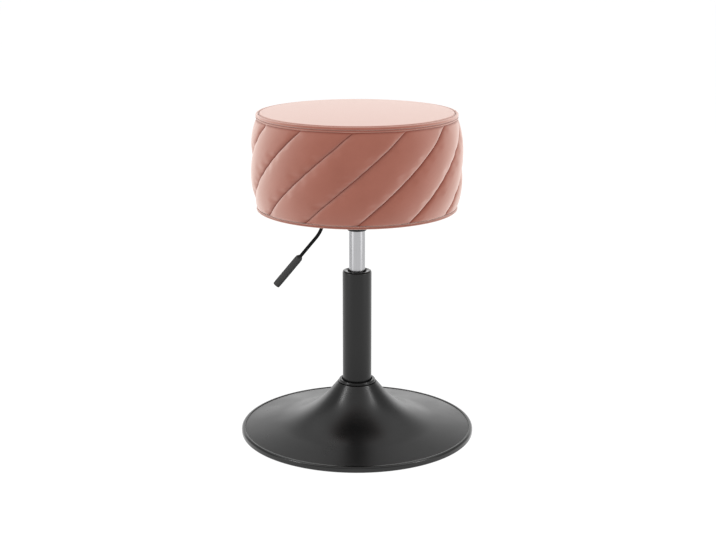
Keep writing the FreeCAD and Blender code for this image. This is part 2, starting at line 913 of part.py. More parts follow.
def make_lever_bracket():
    """Two ears welded to the tray, and the pin that the lever turns on."""
    reach = dim("pivot_reach")
    foot = dim("tray_bottom") + dim("plate_thick")
    rise = dim("pivot_level") - foot
    ear_length, ear_thick, ear_offset, ear_above = 9.0, 2.0, 8.0, 4.4
    body = new_body("lever_bracket", foot)
    for side, name in ((1, "front_ear"), (-1, "back_ear")):

        def draw_ear(sketch, side=side):
            add_rectangle(sketch, -reach, as_size(ear_offset) * side, ear_length, ear_thick)

        pad(body, name, draw_ear, rise + ear_above)
    doc.recompute()
    before = body.Shape.Volume
    sketch = new_sketch(body, "pivot_hole_shape", "XZ_Plane")
    add_circle(sketch, -reach, rise, dim("pivot_radius"))
    hole = body.newObject("PartDesign::Pocket", "pivot_hole")
    hole.Profile = sketch
    hole.Midplane = True
    hole.Length = 2 * (ear_offset + ear_thick)
    body.Tip = hole
    doc.recompute()
    if body.Shape.Volume > before - 1e-3:
        raise RuntimeError("pivot_hole cuts nothing")
    pin_length, sleeve_length, sleeve_wall = 20.0, 13.6, 0.9
    across("pivot_pin", dim("pivot_radius"), None, pin_length)
    sleeve_bore = dim("pivot_radius") + dim("running_gap")
    across("pivot_sleeve", dim("lever_radius") + sleeve_wall, sleeve_bore, sleeve_length)


def across(name, radius, bore, length):
    """A round piece along Y on the lever's pivot: a pin, or a sleeve with a bore."""
    radius, length = as_size(radius), as_size(length)
    solid = new_cylinder(f"{name}_outer" if bore else name, radius, length)
    if bore:
        solid = cut_from(name, solid, new_cylinder(f"{name}_bore", as_size(bore), length + 2))
    solid.Label = name


def new_cylinder(name, radius, length):
    """A cylinder along Y, centred on the lever's pivot."""
    item = doc.addObject("Part::Cylinder", name)
    item.Radius = radius.value
    item.Height = length.value
    item.setExpression("Radius", radius.text)
    item.setExpression("Height", length.text)
    spot = Vector(-DIMENSIONS["pivot_reach"], length.value / 2, DIMENSIONS["pivot_level"])
    item.Placement = Placement(spot, Rotation(Vector(1, 0, 0), 90))
    item.setExpression("Placement.Base.x", (-dim("pivot_reach")).text)
    item.setExpression("Placement.Base.y", (length * 0.5).text)
    item.setExpression("Placement.Base.z", dim("pivot_level").text)
    return item


def cut_from(name, base, tool):
    """Cut one solid from another to make one named sub-part."""
    item = doc.addObject("Part::Cut", name)
    item.Base = base
    item.Tool = tool
    return item


def lever_corner():
    """Where the lever's two straight runs would meet outside its second bend."""
    first = math.radians(DIMENSIONS["first_slope"])
    second = math.radians(DIMENSIONS["second_slope"])
    radius = DIMENSIONS["first_bend_radius"]
    start = Vector(
        -DIMENSIONS["first_bend_reach"] - radius * math.sin(first),
        DIMENSIONS["lever_level"] - radius * (1 - math.cos(first)),
        0,
    )
    first_way = Vector(-math.cos(first), -math.sin(first), 0)
    second_way = Vector(-math.cos(second), -math.sin(second), 0)
    grip = Vector(-DIMENSIONS["grip_start_reach"], DIMENSIONS["grip_start_level"], 0)
    gap = grip - start
    cross = first_way.x * second_way.y - first_way.y * second_way.x
    along = (gap.x * second_way.y - gap.y * second_way.x) / cross
    return start, start + first_way * along, first_way, second_way, grip


def make_lever():
    """Bent steel rod that runs from over the valve pin to inside the grip."""
    start, corner, first_way, second_way, grip = lever_corner()
    turn = math.radians(DIMENSIONS["first_slope"] - DIMENSIONS["second_slope"])
    tangent = DIMENSIONS["second_bend_radius"] * math.tan(turn / 2)
    bend_start = corner - first_way * tangent
    bend_end = corner + second_way * tangent
    rod_end = grip + second_way * (DIMENSIONS["grip_length"] - GRIP_CAP)
    body = new_body("lever_rod")
    path = new_sketch(body, "lever_path", "XZ_Plane")
    points = [
        (LEVER_INNER_END, dim("lever_level")),
        (-dim("first_bend_reach"), dim("lever_level")),
        (start.x, start.y, dim("first_bend_radius")),
        (bend_start.x, bend_start.y),
        (bend_end.x, bend_end.y, -dim("second_bend_radius")),
        (rod_end.x, rod_end.y),
    ]
    add_outline(path, points, closed=False)
    section = new_sketch(body, "lever_section", "YZ_Plane")
    section.AttachmentOffset = Placement(Vector(0, 0, LEVER_INNER_END), Rotation())
    add_circle(section, 0, dim("lever_level"), dim("lever_radius"))
    pipe = body.newObject("PartDesign::AdditivePipe", "lever_pipe")
    pipe.Profile = section
    pipe.Spine = (path, [])
    body.Tip = pipe


def make_lever_grip():
    """Moulded grip on the rod's outer end: a rounded shoulder and a flat end."""
    length = dim("grip_length")
    radius = dim("grip_radius")
    rod = dim("lever_radius")
    shoulder_length, shoulder_curve, mouth_wall, end_round = 5.0, 7.5, 0.9, 1.2
    outline = [
        (rod, 0),
        (rod + mouth_wall, 0),
        (radius, shoulder_length, -shoulder_curve),
        (radius, length - end_round),
        (radius - end_round, length, end_round),
        (0, length),
        (0, length - GRIP_CAP),
        (rod, length - GRIP_CAP),
    ]
    grip = turned("lever_grip", outline)
    spin = Rotation(Vector(0, 1, 0), 270 - DIMENSIONS["second_slope"])
    spot = Vector(-DIMENSIONS["grip_start_reach"], 0, DIMENSIONS["grip_start_level"])
    grip.Placement = Placement(spot, spin)
    grip.setExpression("Placement.Base.x", (-dim("grip_start_reach")).text)
    grip.setExpression("Placement.Base.z", dim("grip_start_level").text)


def make_plate_fasteners():
    """Four bolts from below, their washers, and the tee nuts set in the board."""
    circle = dim("plate_bolt_pitch") * (1 / math.sqrt(2))
    flange_low = dim("plate_top") - dim("plate_thick")
    shank, bolt_length, across_flats, head = 3.0, 19.0, 10.0, 4.0
    washer_hole, washer_radius, washer = 3.2, 6.0, 1.2
    head_low = flange_low - washer - head
    bolts = new_body("plate_bolts", head_low)

    def draw_head(sketch):
        make_hexagon(sketch, circle, across_flats)

    def draw_shank(sketch):
        add_circle(sketch, circle, 0, shank)

    head_pad = pad(bolts, "plate_bolt_head", draw_head, head)
    shank_pad = pad(bolts, "plate_bolt_shank", draw_shank, bolt_length, head)
    repeat_round(bolts, [head_pad, shank_pad], PLATE_BOLTS)
    low = flange_low - washer
    make_washers("plate_washers", low, circle, PLATE_BOLTS, washer_hole, washer_radius, washer)
    height = 12.0
    tee = new_body("tee_nuts", dim("board_bottom") + dim("board_thick") - height)
    flange_foot = height - TEE_FLANGE
    outline = [
        (shank, 0),
        (TEE_BARREL, 0),
        (TEE_BARREL, flange_foot),
        (TEE_RADIUS, flange_foot),
        (TEE_RADIUS, height),
        (shank, height),
    ]
    nut = turned_at(tee, "tee_nut", circle, outline)
    repeat_round(tee, [nut], PLATE_BOLTS)
    for body in (bolts, tee, doc.getObject("plate_washers")):
        body.Placement = Placement(body.Placement.Base, Rotation(Vector(0, 0, 1), 45))


# Seat


def make_seat_board():
    """Plywood disc under the foam, bored for the tee nuts."""
    edge_round = 1.5
    thick = dim("board_thick")
    outline = [
        (0, 0),
        (dim("board_radius") - edge_round, 0),
        (dim("board_radius"), edge_round, edge_round),
        (dim("board_radius"), thick),
        (0, thick),
    ]
    body = turned("seat_board", outline, dim("board_bottom"))
    cut(body, "nut_bores", four_circles(TEE_BARREL), thick)
    cut(body, "nut_recesses", four_circles(TEE_RADIUS), TEE_FLANGE, thick - TEE_FLANGE)


def make_dust_cover():
    """Black lining on the underside, inside the stapled hem, holed for the bolts."""
    thick = dim("board_bottom") - dim("plate_top")
    bolt_opening = 4.0
    outline = ring_outline(0, dim("lining_radius"), thick)
    body = turned("dust_cover", outline, dim("plate_top"))
    cut(body, "bolt_openings", four_circles(bolt_opening), thick)


def make_foam_core():
    """Upright foam block between the board and the top panel."""
    foot = dim("board_bottom") + dim("board_thick")
    height = dim("foam_top") - foot
    radius = dim("board_radius")
    edge_round = 6.0
    outline = [
        (0, 0),
        (radius, 0),
        (radius, height - edge_round),
        (radius - edge_round, height, edge_round),
        (0, height),
    ]
    turned("foam_core", outline, foot)


def band_swell(level):
    """How far the band has swelled at a height: none at its edges, most in the middle."""
    low = DIMENSIONS["band_bottom"]
    high = DIMENSIONS["channel_top"]
    share = 2 * (level - low) / (high - low) - 1
    return (DIMENSIONS["bulge_radius"] - DIMENSIONS["channel_edge_radius"]) * (1 - abs(share) ** 3)


def band_crest(level):
    """Radius of the channels' crests: full at mid height, drawn in at both edges."""
    return DIMENSIONS["channel_edge_radius"] + band_swell(level)


def band_seam(level):
    """Radius at the bottom of the seams: it swells less than the crests do."""
    return DIMENSIONS["seam_radius"] + band_swell(level) * DIMENSIONS["seam_share"]


def band_section(level):
    """One closed ring of channels: an arc from seam to seam, turned with the height."""
    low = DIMENSIONS["band_bottom"]
    high = DIMENSIONS["channel_top"]
    share = (level - low) / (high - low)
    turn = DIMENSIONS["channel_offset"] - DIMENSIONS["channel_turn"] * (1 - share)
    pitch = 360 / CHANNELS

    def spot(degrees, radius):
        angle = math.radians(degrees)
        return Vector(radius * math.sin(angle), -radius * math.cos(angle), level)

    arcs = []
    for index in range(CHANNELS):
        seam = turn + pitch * index
        start = spot(seam, band_seam(level))
        crest = spot(seam + pitch / 2, band_crest(level))
        finish = spot(seam + pitch, band_seam(level))
        arcs.append(Part.Arc(start, crest, finish).toShape())
    return Part.Wire(arcs)


def make_side_band():
    """Channelled velvet band over wadding: slanting channels under a plain edge strip."""
    low = DIMENSIONS["band_bottom"]
    high = DIMENSIONS["channel_top"]
    step = (high - low) / (BAND_SECTIONS - 1)
    sections = [band_section(low + step * index) for index in range(BAND_SECTIONS)]
    padded = Part.makeLoft(sections, True)
    strip_height = DIMENSIONS["band_top"] - high
    strip = Part.makeCylinder(DIMENSIONS["edge_radius"], strip_height, Vector(0, 0, high))
    bore_radius = DIMENSIONS["board_radius"] + BOARD_GAP
    bore = Part.makeCylinder(bore_radius, DIMENSIONS["band_top"] - low + 2, Vector(0, 0, low - 1))
    band = doc.addObject("Part::Feature", "side_band")
    band.Label = "side_band"
    band.Shape = padded.fuse(strip).cut(bore)
    band.Placement = Placement()


def make_hem():
    """Rolled lower edge of the velvet, and the flap turned under the board."""
    roll = dim("hem_radius")
    circle = dim("hem_circle")
    low = dim("seat_bottom")
    flap_inner = dim("lining_radius") + 2
    flap_top = dim("board_bottom") - low
    flap_foot = flap_top - 2.2
    inner_roll = 3.4
    top = dim("band_bottom") - low
    board = dim("board_radius") + BOARD_GAP
    outline = [
        (flap_inner, flap_foot),
        (circle - inner_roll, flap_foot),
        (circle, 0, inner_roll),
        (circle + roll, roll, roll),
        (circle + roll * 0.5, top),
        (board, top),
        (board, flap_top),
        (flap_inner, flap_top),
    ]
    turned("bottom_hem", outline, low)


def make_staples():
    """Staples that hold the hem: a crown on the cloth and two legs into the board."""
    circle = 150.0
    half_width, leg_length, wire, wire_depth = 5.0, 9.0, 0.7, 1.2
    below_board = 2.9
    body = new_body("hem_staples", dim("board_bottom") - below_board)
    section = new_sketch(body, "staple_section", "YZ_Plane")
    section.AttachmentOffset = Placement(Vector(0, 0, circle), Rotation())
    inside = half_width - wire
    outline = [
        (-half_width, 0),
        (half_width, 0),
        (half_width, leg_length),
        (inside, leg_length),
        (inside, wire),
        (-inside, wire),
        (-inside, leg_length),
        (-half_width, leg_length),
    ]
    add_outline(section, outline)
    staple = body.newObject("PartDesign::Pad", "staple")
    staple.Profile = section
    staple.Length = wire_depth
    body.Tip = staple
    repeat_round(body, [staple], STAPLES)


def make_piping():
    """Velvet-covered cord sewn round the top edge."""
    ring = doc.addObject("Part::Torus", "top_piping")
    ring.Label = "top_piping"
    ring.Radius1 = DIMENSIONS["piping_circle"]
    ring.Radius2 = DIMENSIONS["piping_radius"]
    ring.setExpression("Radius1", dim("piping_circle").text)
    ring.setExpression("Radius2", dim("piping_radius").text)
    set_level(ring, dim("piping_level"))


def make_top_panel():
    """Crowned velvet top over soft foam: low dome, edge rolled down to the piping."""
    foot = dim("foam_top")
    edge = dim("panel_edge_level") - foot
    crown = dim("crown_level") - foot
    radius = dim("panel_radius")
    shoulder = 3.0
    reach = DIMENSIONS["panel_radius"] - shoulder
    rise = DIMENSIONS["crown_level"] - DIMENSIONS["panel_edge_level"]
    dome = (reach**2 + rise**2) / (2 * rise)
    ledge = dim("band_top") + 0.1 - foot
    outline = [
        (0, 0),
        (dim("board_radius"), 0),
        (dim("board_radius"), ledge),
        (radius, ledge),
        (radius, edge - shoulder),
        (radius - shoulder, edge, shoulder),
        (0, crown, dome),
    ]
    turned("top_panel", outline, foot)


# Build, check and write


def sub_parts():
    """Every sub-part: the top objects of the tree, without sketches and tools."""
    tools = set()
    for item in doc.Objects:
        if item.isDerivedFrom("Part::Cut"):
            tools.update((item.Base.Name, item.Tool.Name))
    parts = []
    for item in doc.Objects:
        inside = item.getParentGeoFeatureGroup() is not None
        solid = item.isDerivedFrom("Part::Feature") and not inside
        if item.TypeId == "PartDesign::Body" or (solid and item.Name not in tools):
            parts.append(item)
    return parts


def check_model(parts):
    """Stop if anything in the document failed or a sub-part has no sound solid."""
    for item in doc.Objects:
        if "Invalid" in item.State or "Error" in item.State:
            raise RuntimeError(f"{item.Name} is {item.State}")
    for part in parts:
        shape = part.Shape
        if shape.isNull() or not shape.isValid() or not shape.Solids:
            raise RuntimeError(f"{part.Label} has no sound solid")


def main():
    """Make every sub-part, check them all, then write one file for each."""
    fill_sheet()
    make_edge_ring()
    make_base_shell()
    make_base_plate()
    make_base_weight()
    make_hub_socket()
    make_base_fasteners()
    make_neck_ring()
    make_column()
    make_bearing()
    make_rod()
    make_piston()
    make_cylinder()
    make_cylinder_inside()
    make_release_pin()
    make_seat_socket()
    make_mount_plate()
    make_lever_bracket()
    make_lever()
    make_lever_grip()
    make_plate_fasteners()
    make_seat_board()
    make_dust_cover()
    make_foam_core()
    make_side_band()
    make_hem()
    make_staples()
    make_piping()
    make_top_panel()
    doc.recompute()
    parts = sub_parts()
    check_model(parts)
    os.makedirs("parts", exist_ok=True)
    for part in parts:
        part.Shape.exportStep(os.path.join("parts", f"{part.Label}.step"))
        solids = len(part.Shape.Solids)
        print(f"{part.Label}: {solids} solid(s), {part.Shape.Volume / 1000:.2f} cm3")
    print(f"{len(parts)} sub-parts written")


main()
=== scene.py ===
import logging
import math
from dataclasses import dataclass
from enum import Enum

import bmesh
import bpy
import numpy as np
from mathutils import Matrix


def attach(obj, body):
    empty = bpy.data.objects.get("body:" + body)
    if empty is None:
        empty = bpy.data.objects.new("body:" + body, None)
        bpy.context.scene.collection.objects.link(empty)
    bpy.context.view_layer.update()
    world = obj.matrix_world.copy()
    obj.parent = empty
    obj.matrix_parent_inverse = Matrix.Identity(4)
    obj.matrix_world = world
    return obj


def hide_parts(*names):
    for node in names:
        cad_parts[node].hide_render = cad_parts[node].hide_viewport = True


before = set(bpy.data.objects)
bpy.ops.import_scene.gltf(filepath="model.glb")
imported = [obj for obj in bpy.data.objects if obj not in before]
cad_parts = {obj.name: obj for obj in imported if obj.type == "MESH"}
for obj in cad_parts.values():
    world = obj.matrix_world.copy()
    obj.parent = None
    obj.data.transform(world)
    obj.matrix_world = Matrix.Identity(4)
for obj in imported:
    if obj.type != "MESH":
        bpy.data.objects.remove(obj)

# Vanity stool: a round channelled velvet seat on a gas lift, over a trumpet base.
# Metres, +Z up, origin on the floor under the middle of the base, lever along -X.
# Shapes are worked out in millimetres and scaled once, when a mesh is made.

LOG = logging.getLogger("vanity_stool")
MM = 0.001
SAME_PLACE = 1e-7
FULL_TURN = 2 * math.pi
WHITE = (1.0, 1.0, 1.0, 1.0)
Array = np.ndarray
Corner = tuple[float, float, float]
Spot = tuple[float, float]
Tree = bpy.types.NodeTree
Socket = bpy.types.NodeSocket


class Slot(Enum):
    """The record's material slots."""

    VELVET = "velvet"
    SATIN_BLACK = "satin_black_steel"
    GLOSS_BLACK = "gloss_black_plastic"
    GRIP = "black_grip_plastic"
    RUBBER = "black_rubber"
    CHROME = "chromed_steel"
    ZINC = "zinc_plated_steel"
    BEARING = "bearing_steel"
    CAST_IRON = "cast_iron"
    HUB = "hub_steel"
    ACETAL = "white_acetal"
    PLYWOOD = "plywood"
    FOAM = "foam"
    LINING = "black_lining"


class Body(Enum):
    """The bodies that the new pieces ride on."""

    BASE = "base"
    SEAT = "seat"
    LEVER = "lever"


# Colours and nodes

# Numbers of a colour mix's inputs and of its output
MIX_SHARE, MIX_FIRST, MIX_SECOND, MIX_RESULT = 0, 6, 7, 2


def linear(code: str) -> tuple[float, float, float, float]:
    """Turn an sRGB hex colour into the linear colour that a shader takes.

    Args:
        code: six hex digits, two for each of red, green and blue.

    Returns:
        Linear red, green, blue and an alpha of 1.
    """
    channels = [int(code[place:place + 2], 16) / 255 for place in (0, 2, 4)]
    bent = [c / 12.92 if c <= 0.04045 else ((c + 0.055) / 1.055) ** 2.4 for c in channels]
    return (*bent, 1.0)


def per_metre(size: float) -> float:
    """Scale of a pattern whose features are that many millimetres wide."""
    return 1.0 / (size * MM)


def add_node(tree: Tree, kind: str, inputs: dict | None = None, **settings: object) -> bpy.types.Node:
    """Add one node with its settings, values and links.

    Args:
        tree: the node tree that takes it.
        kind: the node's type.
        inputs: socket names or numbers, each with a value or with the output that feeds it.
        settings: the node's own properties.

    Returns:
        The new node.
    """
    node = tree.nodes.new(kind)
    for name, value in settings.items():
        setattr(node, name, value)
    for socket, value in (inputs or {}).items():
        if isinstance(value, Socket):
            tree.links.new(value, node.inputs[socket])
        else:
            node.inputs[socket].default_value = value
    return node


@dataclass(frozen=True)
class Tones:
    """The two colours that a surface drifts between."""

    dark: str
    light: str

    def mixed(self, tree: Tree, share: Socket) -> Socket:
        """Mix the two colours.

        Args:
            tree: the node tree.
            share: how far towards the light colour each place is, 0 to 1.

        Returns:
            The colour output.
        """
        inputs = {MIX_SHARE: share, MIX_FIRST: linear(self.dark), MIX_SECOND: linear(self.light)}
        return add_node(tree, "ShaderNodeMix", inputs, data_type="RGBA").outputs[MIX_RESULT]


@dataclass(frozen=True)
class Finish:
    """A real surface finish, built as one procedural material.

    Sizes and depths of its patterns are in millimetres.
    """

    slot: Slot
    title: str

    def shader_inputs(self, tree: Tree, place: Socket) -> dict:
        """What the surface shader takes; each finish gives its own.

        Args:
            tree: the material's node tree.
            place: the point's object coordinates, in metres.

        Returns:
            Socket names with values or outputs.
        """
        raise NotImplementedError

    def build(self) -> bpy.types.Material:
        """Make the material.

        Returns:
            The new material.
        """
        material = bpy.data.materials.new(self.title)
        material.use_nodes = True
        tree = material.node_tree
        tree.nodes.clear()
        place = add_node(tree, "ShaderNodeTexCoord").outputs["Object"]
        shader = add_node(tree, "ShaderNodeBsdfPrincipled", self.shader_inputs(tree, place))
        add_node(tree, "ShaderNodeOutputMaterial", {"Surface": shader.outputs["BSDF"]})
        return material


@dataclass(frozen=True)
class Velvet(Finish):
    """Polyester velvet, cut pile, sewn and stretched over wadding.

    Its upright fibres glow where they are seen edge on and swallow light where they are seen
    end on; besides the shader's own sheen, the base colour is mixed towards a pale colour where
    the surface is seen edge on, which is painted sheen. Each brushed patch leans its own way,
    which shifts the tone a little. The attribute "crease" says how deep in a seam or fold a point
    lies, and there the base colour is darkened: painted shade, where the seams' shade falls.
    """

    tones: Tones = Tones("955C4E", "A16658")
    # Painted sheen: the pale colour that the base colour turns to where the pile is seen edge on
    painted_sheen_colour: str = "E4C4B9"
    edge_on_power: float = 1.6
    # Painted shade: the dark colour that seams and folds take, and how much of it the deepest place gets
    painted_seam_shade: str = "7A3220"
    seam_share: float = 0.85
    sheen_tint: str = "FFF1EC"
    sheen_roughness: float = 0.35
    patch: float = 38.0
    pile: float = 1.1
    pile_depth: float = 0.25

    def shader_inputs(self, tree: Tree, place: Socket) -> dict:
        """Brushed patches, a painted sheen where the pile is seen edge on, painted shade in its seams, and
        its bump.

        The real pile is too fine to show, so it is drawn about five times as coarse.

        Args:
            tree: the material's node tree.
            place: the point's object coordinates.

        Returns:
            Socket names with values or outputs.
        """
        patches = add_node(tree, "ShaderNodeTexNoise", {
            "Vector": place, "Scale": per_metre(self.patch), "Detail": 3.0, "Roughness": 0.55,
        })
        pile = add_node(tree, "ShaderNodeTexNoise", {
            "Vector": place, "Scale": per_metre(self.pile), "Detail": 2.0, "Roughness": 0.6,
        })
        bump = add_node(tree, "ShaderNodeBump", {
            "Height": pile.outputs[0], "Distance": self.pile_depth * MM, "Strength": 0.35,
        })
        # Painted sheen: the base colour is mixed towards the pale colour where the surface is seen edge on
        edge_on = add_node(tree, "ShaderNodeLayerWeight", {"Blend": 0.5})
        painted_sheen_share = add_node(tree, "ShaderNodeMath", {
            0: edge_on.outputs["Facing"], 1: self.edge_on_power,
        }, operation="POWER")
        painted_sheen = add_node(tree, "ShaderNodeMix", {
            MIX_SHARE: painted_sheen_share.outputs[0],
            MIX_FIRST: self.tones.mixed(tree, patches.outputs[0]),
            MIX_SECOND: linear(self.painted_sheen_colour),
        }, data_type="RGBA")
        # Painted shade: the base colour darkens towards the seam colour where a point lies deep in a seam or
        # fold
        crease = add_node(tree, "ShaderNodeAttribute", attribute_name="crease")
        painted_shade_share = add_node(tree, "ShaderNodeMath", {
            0: crease.outputs["Fac"], 1: self.seam_share,
        }, operation="MULTIPLY")
        colour = add_node(tree, "ShaderNodeMix", {
            MIX_SHARE: painted_shade_share.outputs[0],
            MIX_FIRST: painted_sheen.outputs[MIX_RESULT],
            MIX_SECOND: linear(self.painted_seam_shade),
        }, data_type="RGBA")
        return {
            "Base Color": colour.outputs[MIX_RESULT],
            "Roughness": 0.95,
            "Specular IOR Level": 0.15,
            "Sheen Weight": 1.0,
            "Sheen Roughness": self.sheen_roughness,
            "Sheen Tint": linear(self.sheen_tint),
            "Normal": bump.outputs[0],
        }


@dataclass(frozen=True)
class Moulded(Finish):
    """Injection-moulded plastic or rubber.

    The mould's polish or grain sets its gloss, and the melt's flow shifts the tone a little.
    """

    tones: Tones = Tones("0A0A0A", "0F0F0F")
    roughness: float = 0.1
    grain: float = 1.5
    grain_depth: float = 0.01
    ior: float = 1.5
    grain_detail: float = 1.5
    grain_strength: float = 0.6
    drift: float = 22.0
    gloss_spread: tuple[float, float] = (0.0, 0.07)

    def shader_inputs(self, tree: Tree, place: Socket) -> dict:
        """A slow drift in tone and gloss, and the skin's grain as a bump.

        Args:
            tree: the material's node tree.
            place: the point's object coordinates.

        Returns:
            Socket names with values or outputs.
        """
        drift = add_node(tree, "ShaderNodeTexNoise", {
            "Vector": place, "Scale": per_metre(self.drift), "Detail": 2.0,
        })
        grain = add_node(tree, "ShaderNodeTexNoise", {
            "Vector": place, "Scale": per_metre(self.grain), "Detail": self.grain_detail,
        })
        bump = add_node(tree, "ShaderNodeBump", {
            "Height": grain.outputs[0], "Distance": self.grain_depth * MM, "Strength": self.grain_strength,
        })
        gloss = add_node(tree, "ShaderNodeMapRange", {
            "Value": drift.outputs[0], "From Min": 0.3, "From Max": 0.7,
            "To Min": self.roughness + self.gloss_spread[0], "To Max": self.roughness + self.gloss_spread[1],
        })
        return {
            "Base Color": self.tones.mixed(tree, drift.outputs[0]),
            "Roughness": gloss.outputs[0],
            "IOR": self.ior,
            "Normal": bump.outputs[0],
        }


@dataclass(frozen=True)
class PowderCoat(Moulded):
    """Satin powder coat baked on steel: a low sheen with the faint ripple of the melted powder.

    The coat's thickness shifts its tone and gloss slowly.
    """

    tones: Tones = Tones("080808", "0D0D0D")
    roughness: float = 0.3
    grain: float = 2.2
    grain_depth: float = 0.03
    ior: float = 1.45
    grain_detail: float = 1.0
    grain_strength: float = 0.3
    drift: float = 60.0
    gloss_spread: tuple[float, float] = (-0.03, 0.04)


@dataclass(frozen=True)
class Metal(Finish):
    """Bare or plated metal, polished, ground or brushed along one direction.

    The marks of the last tool run along its long direction, so the pattern is stretched there.
    """

    tones: Tones
    roughness: float
    mark: float = 0.8
    stretch: tuple[float, float, float] = (1.0, 1.0, 0.04)
    mark_depth: float = 0.004

    def shader_inputs(self, tree: Tree, place: Socket) -> dict:
        """Tool marks as stretched noise in the tone, the gloss and a slight bump.

        Args:
            tree: the material's node tree.
            place: the point's object coordinates.

        Returns:
            Socket names with values or outputs.
        """
        along = add_node(tree, "ShaderNodeMapping", {"Vector": place, "Scale": self.stretch})
        marks = add_node(tree, "ShaderNodeTexNoise", {
            "Vector": along.outputs[0], "Scale": per_metre(self.mark), "Detail": 3.0,
        })
        gloss = add_node(tree, "ShaderNodeMapRange", {
            "Value": marks.outputs[0], "From Min": 0.3, "From Max": 0.7,
            "To Min": self.roughness * 0.8, "To Max": self.roughness * 1.3,
        })
        bump = add_node(tree, "ShaderNodeBump", {
            "Height": marks.outputs[0], "Distance": self.mark_depth * MM, "Strength": 0.4,
        })
        return {
            "Base Color": self.tones.mixed(tree, marks.outputs[0]),
            "Metallic": 1.0,
            "Roughness": gloss.outputs[0],
            "Normal": bump.outputs[0],
        }


@dataclass(frozen=True)
class Rough(Finish):
    """A rough, dull surface, such as sand-cast iron, primer or machined acetal."""

    tones: Tones = Tones("2A2A2B", "3A3938")
    roughness: float = 0.75
    grit: float = 1.6
    grit_depth: float = 0.25

    def shader_inputs(self, tree: Tree, place: Socket) -> dict:
        """Grit as a bump, with the same grit in the tone.

        Args:
            tree: the material's node tree.
            place: the point's object coordinates.

        Returns:
            Socket names with values or outputs.
        """
        grit = add_node(tree, "ShaderNodeTexNoise", {
            "Vector": place, "Scale": per_metre(self.grit), "Detail": 4.0, "Roughness": 0.65,
        })
        bump = add_node(tree, "ShaderNodeBump", {
            "Height": grit.outputs[0], "Distance": self.grit_depth * MM, "Strength": 0.7,
        })
        return {
            "Base Color": self.tones.mixed(tree, grit.outputs[0]),
            "Roughness": self.roughness,
            "Normal": bump.outputs[0],
        }


@dataclass(frozen=True)
class Plywood(Finish):
    """Sanded birch plywood: pale grain on the faces and dark glue lines between plies at the edge."""

    tones: Tones = Tones("B98F5C", "D8B888")
    ply: float = 1.5
    grain: float = 1.2

    def shader_inputs(self, tree: Tree, place: Socket) -> dict:
        """Plies as bands up the board, crossed with grain stretched along the face.

        Args:
            tree: the material's node tree.
            place: the point's object coordinates.

        Returns:
            Socket names with values or outputs.
        """
        along = add_node(tree, "ShaderNodeMapping", {"Vector": place, "Scale": (0.05, 1.0, 1.0)})
        grain = add_node(tree, "ShaderNodeTexNoise", {
            "Vector": along.outputs[0], "Scale": per_metre(self.grain), "Detail": 4.0,
        })
        plies = add_node(tree, "ShaderNodeTexWave", {
            "Vector": place, "Scale": per_metre(self.ply) / math.pi, "Distortion": 0.4,
        }, bands_direction="Z")
        share = add_node(tree, "ShaderNodeMath", {
            0: grain.outputs[0], 1: plies.outputs[1],
        }, operation="MULTIPLY")
        bump = add_node(tree, "ShaderNodeBump", {
            "Height": grain.outputs[0], "Distance": 0.05 * MM, "Strength": 0.4,
        })
        return {
            "Base Color": self.tones.mixed(tree, share.outputs[0]),
            "Roughness": 0.6,
            "Normal": bump.outputs[0],
        }


@dataclass(frozen=True)
class CutFoam(Finish):
    """Polyurethane foam cut from a block: open cells in a soft pale yellow."""

    tones: Tones = Tones("C9B98A", "EDE2BC")
    cell: float = 1.6

    def shader_inputs(self, tree: Tree, place: Socket) -> dict:
        """Cells as rounded pits, darker inside as painted shade, drawn larger than real ones so that they
        show.

        Args:
            tree: the material's node tree.
            place: the point's object coordinates.

        Returns:
            Socket names with values or outputs.
        """
        cells = add_node(tree, "ShaderNodeTexVoronoi", {"Vector": place, "Scale": per_metre(self.cell)})
        bump = add_node(tree, "ShaderNodeBump", {
            "Height": cells.outputs[0], "Distance": 0.5 * MM, "Strength": 0.8,
        }, invert=True)
        return {
            # Painted shade: the tone darkens towards each cell's middle
            "Base Color": self.tones.mixed(tree, cells.outputs[0]),
            "Roughness": 0.95,
            "Normal": bump.outputs[0],
        }


@dataclass(frozen=True)
class Lining(Finish):
    """Spun-bonded lining: black felted fibres, pressed together in small dots."""

    tones: Tones = Tones("0E0E0F", "1E1E20")
    dot: float = 1.8
    fibre: float = 0.6

    def shader_inputs(self, tree: Tree, place: Socket) -> dict:
        """Bonding dots as pits, with fibres as fine noise over them.

        Args:
            tree: the material's node tree.
            place: the point's object coordinates.

        Returns:
            Socket names with values or outputs.
        """
        dots = add_node(tree, "ShaderNodeTexVoronoi", {
            "Vector": place, "Scale": per_metre(self.dot), "Randomness": 0.15,
        })
        fibres = add_node(tree, "ShaderNodeTexNoise", {
            "Vector": place, "Scale": per_metre(self.fibre), "Detail": 3.0,
        })
        share = add_node(tree, "ShaderNodeMath", {
            0: dots.outputs[0], 1: fibres.outputs[0],
        }, operation="MULTIPLY")
        bump = add_node(tree, "ShaderNodeBump", {
            "Height": share.outputs[0], "Distance": 0.3 * MM, "Strength": 0.8,
        })
        return {
            "Base Color": self.tones.mixed(tree, share.outputs[0]),
            "Roughness": 0.9,
            "Sheen Weight": 0.2,
            "Normal": bump.outputs[0],
        }


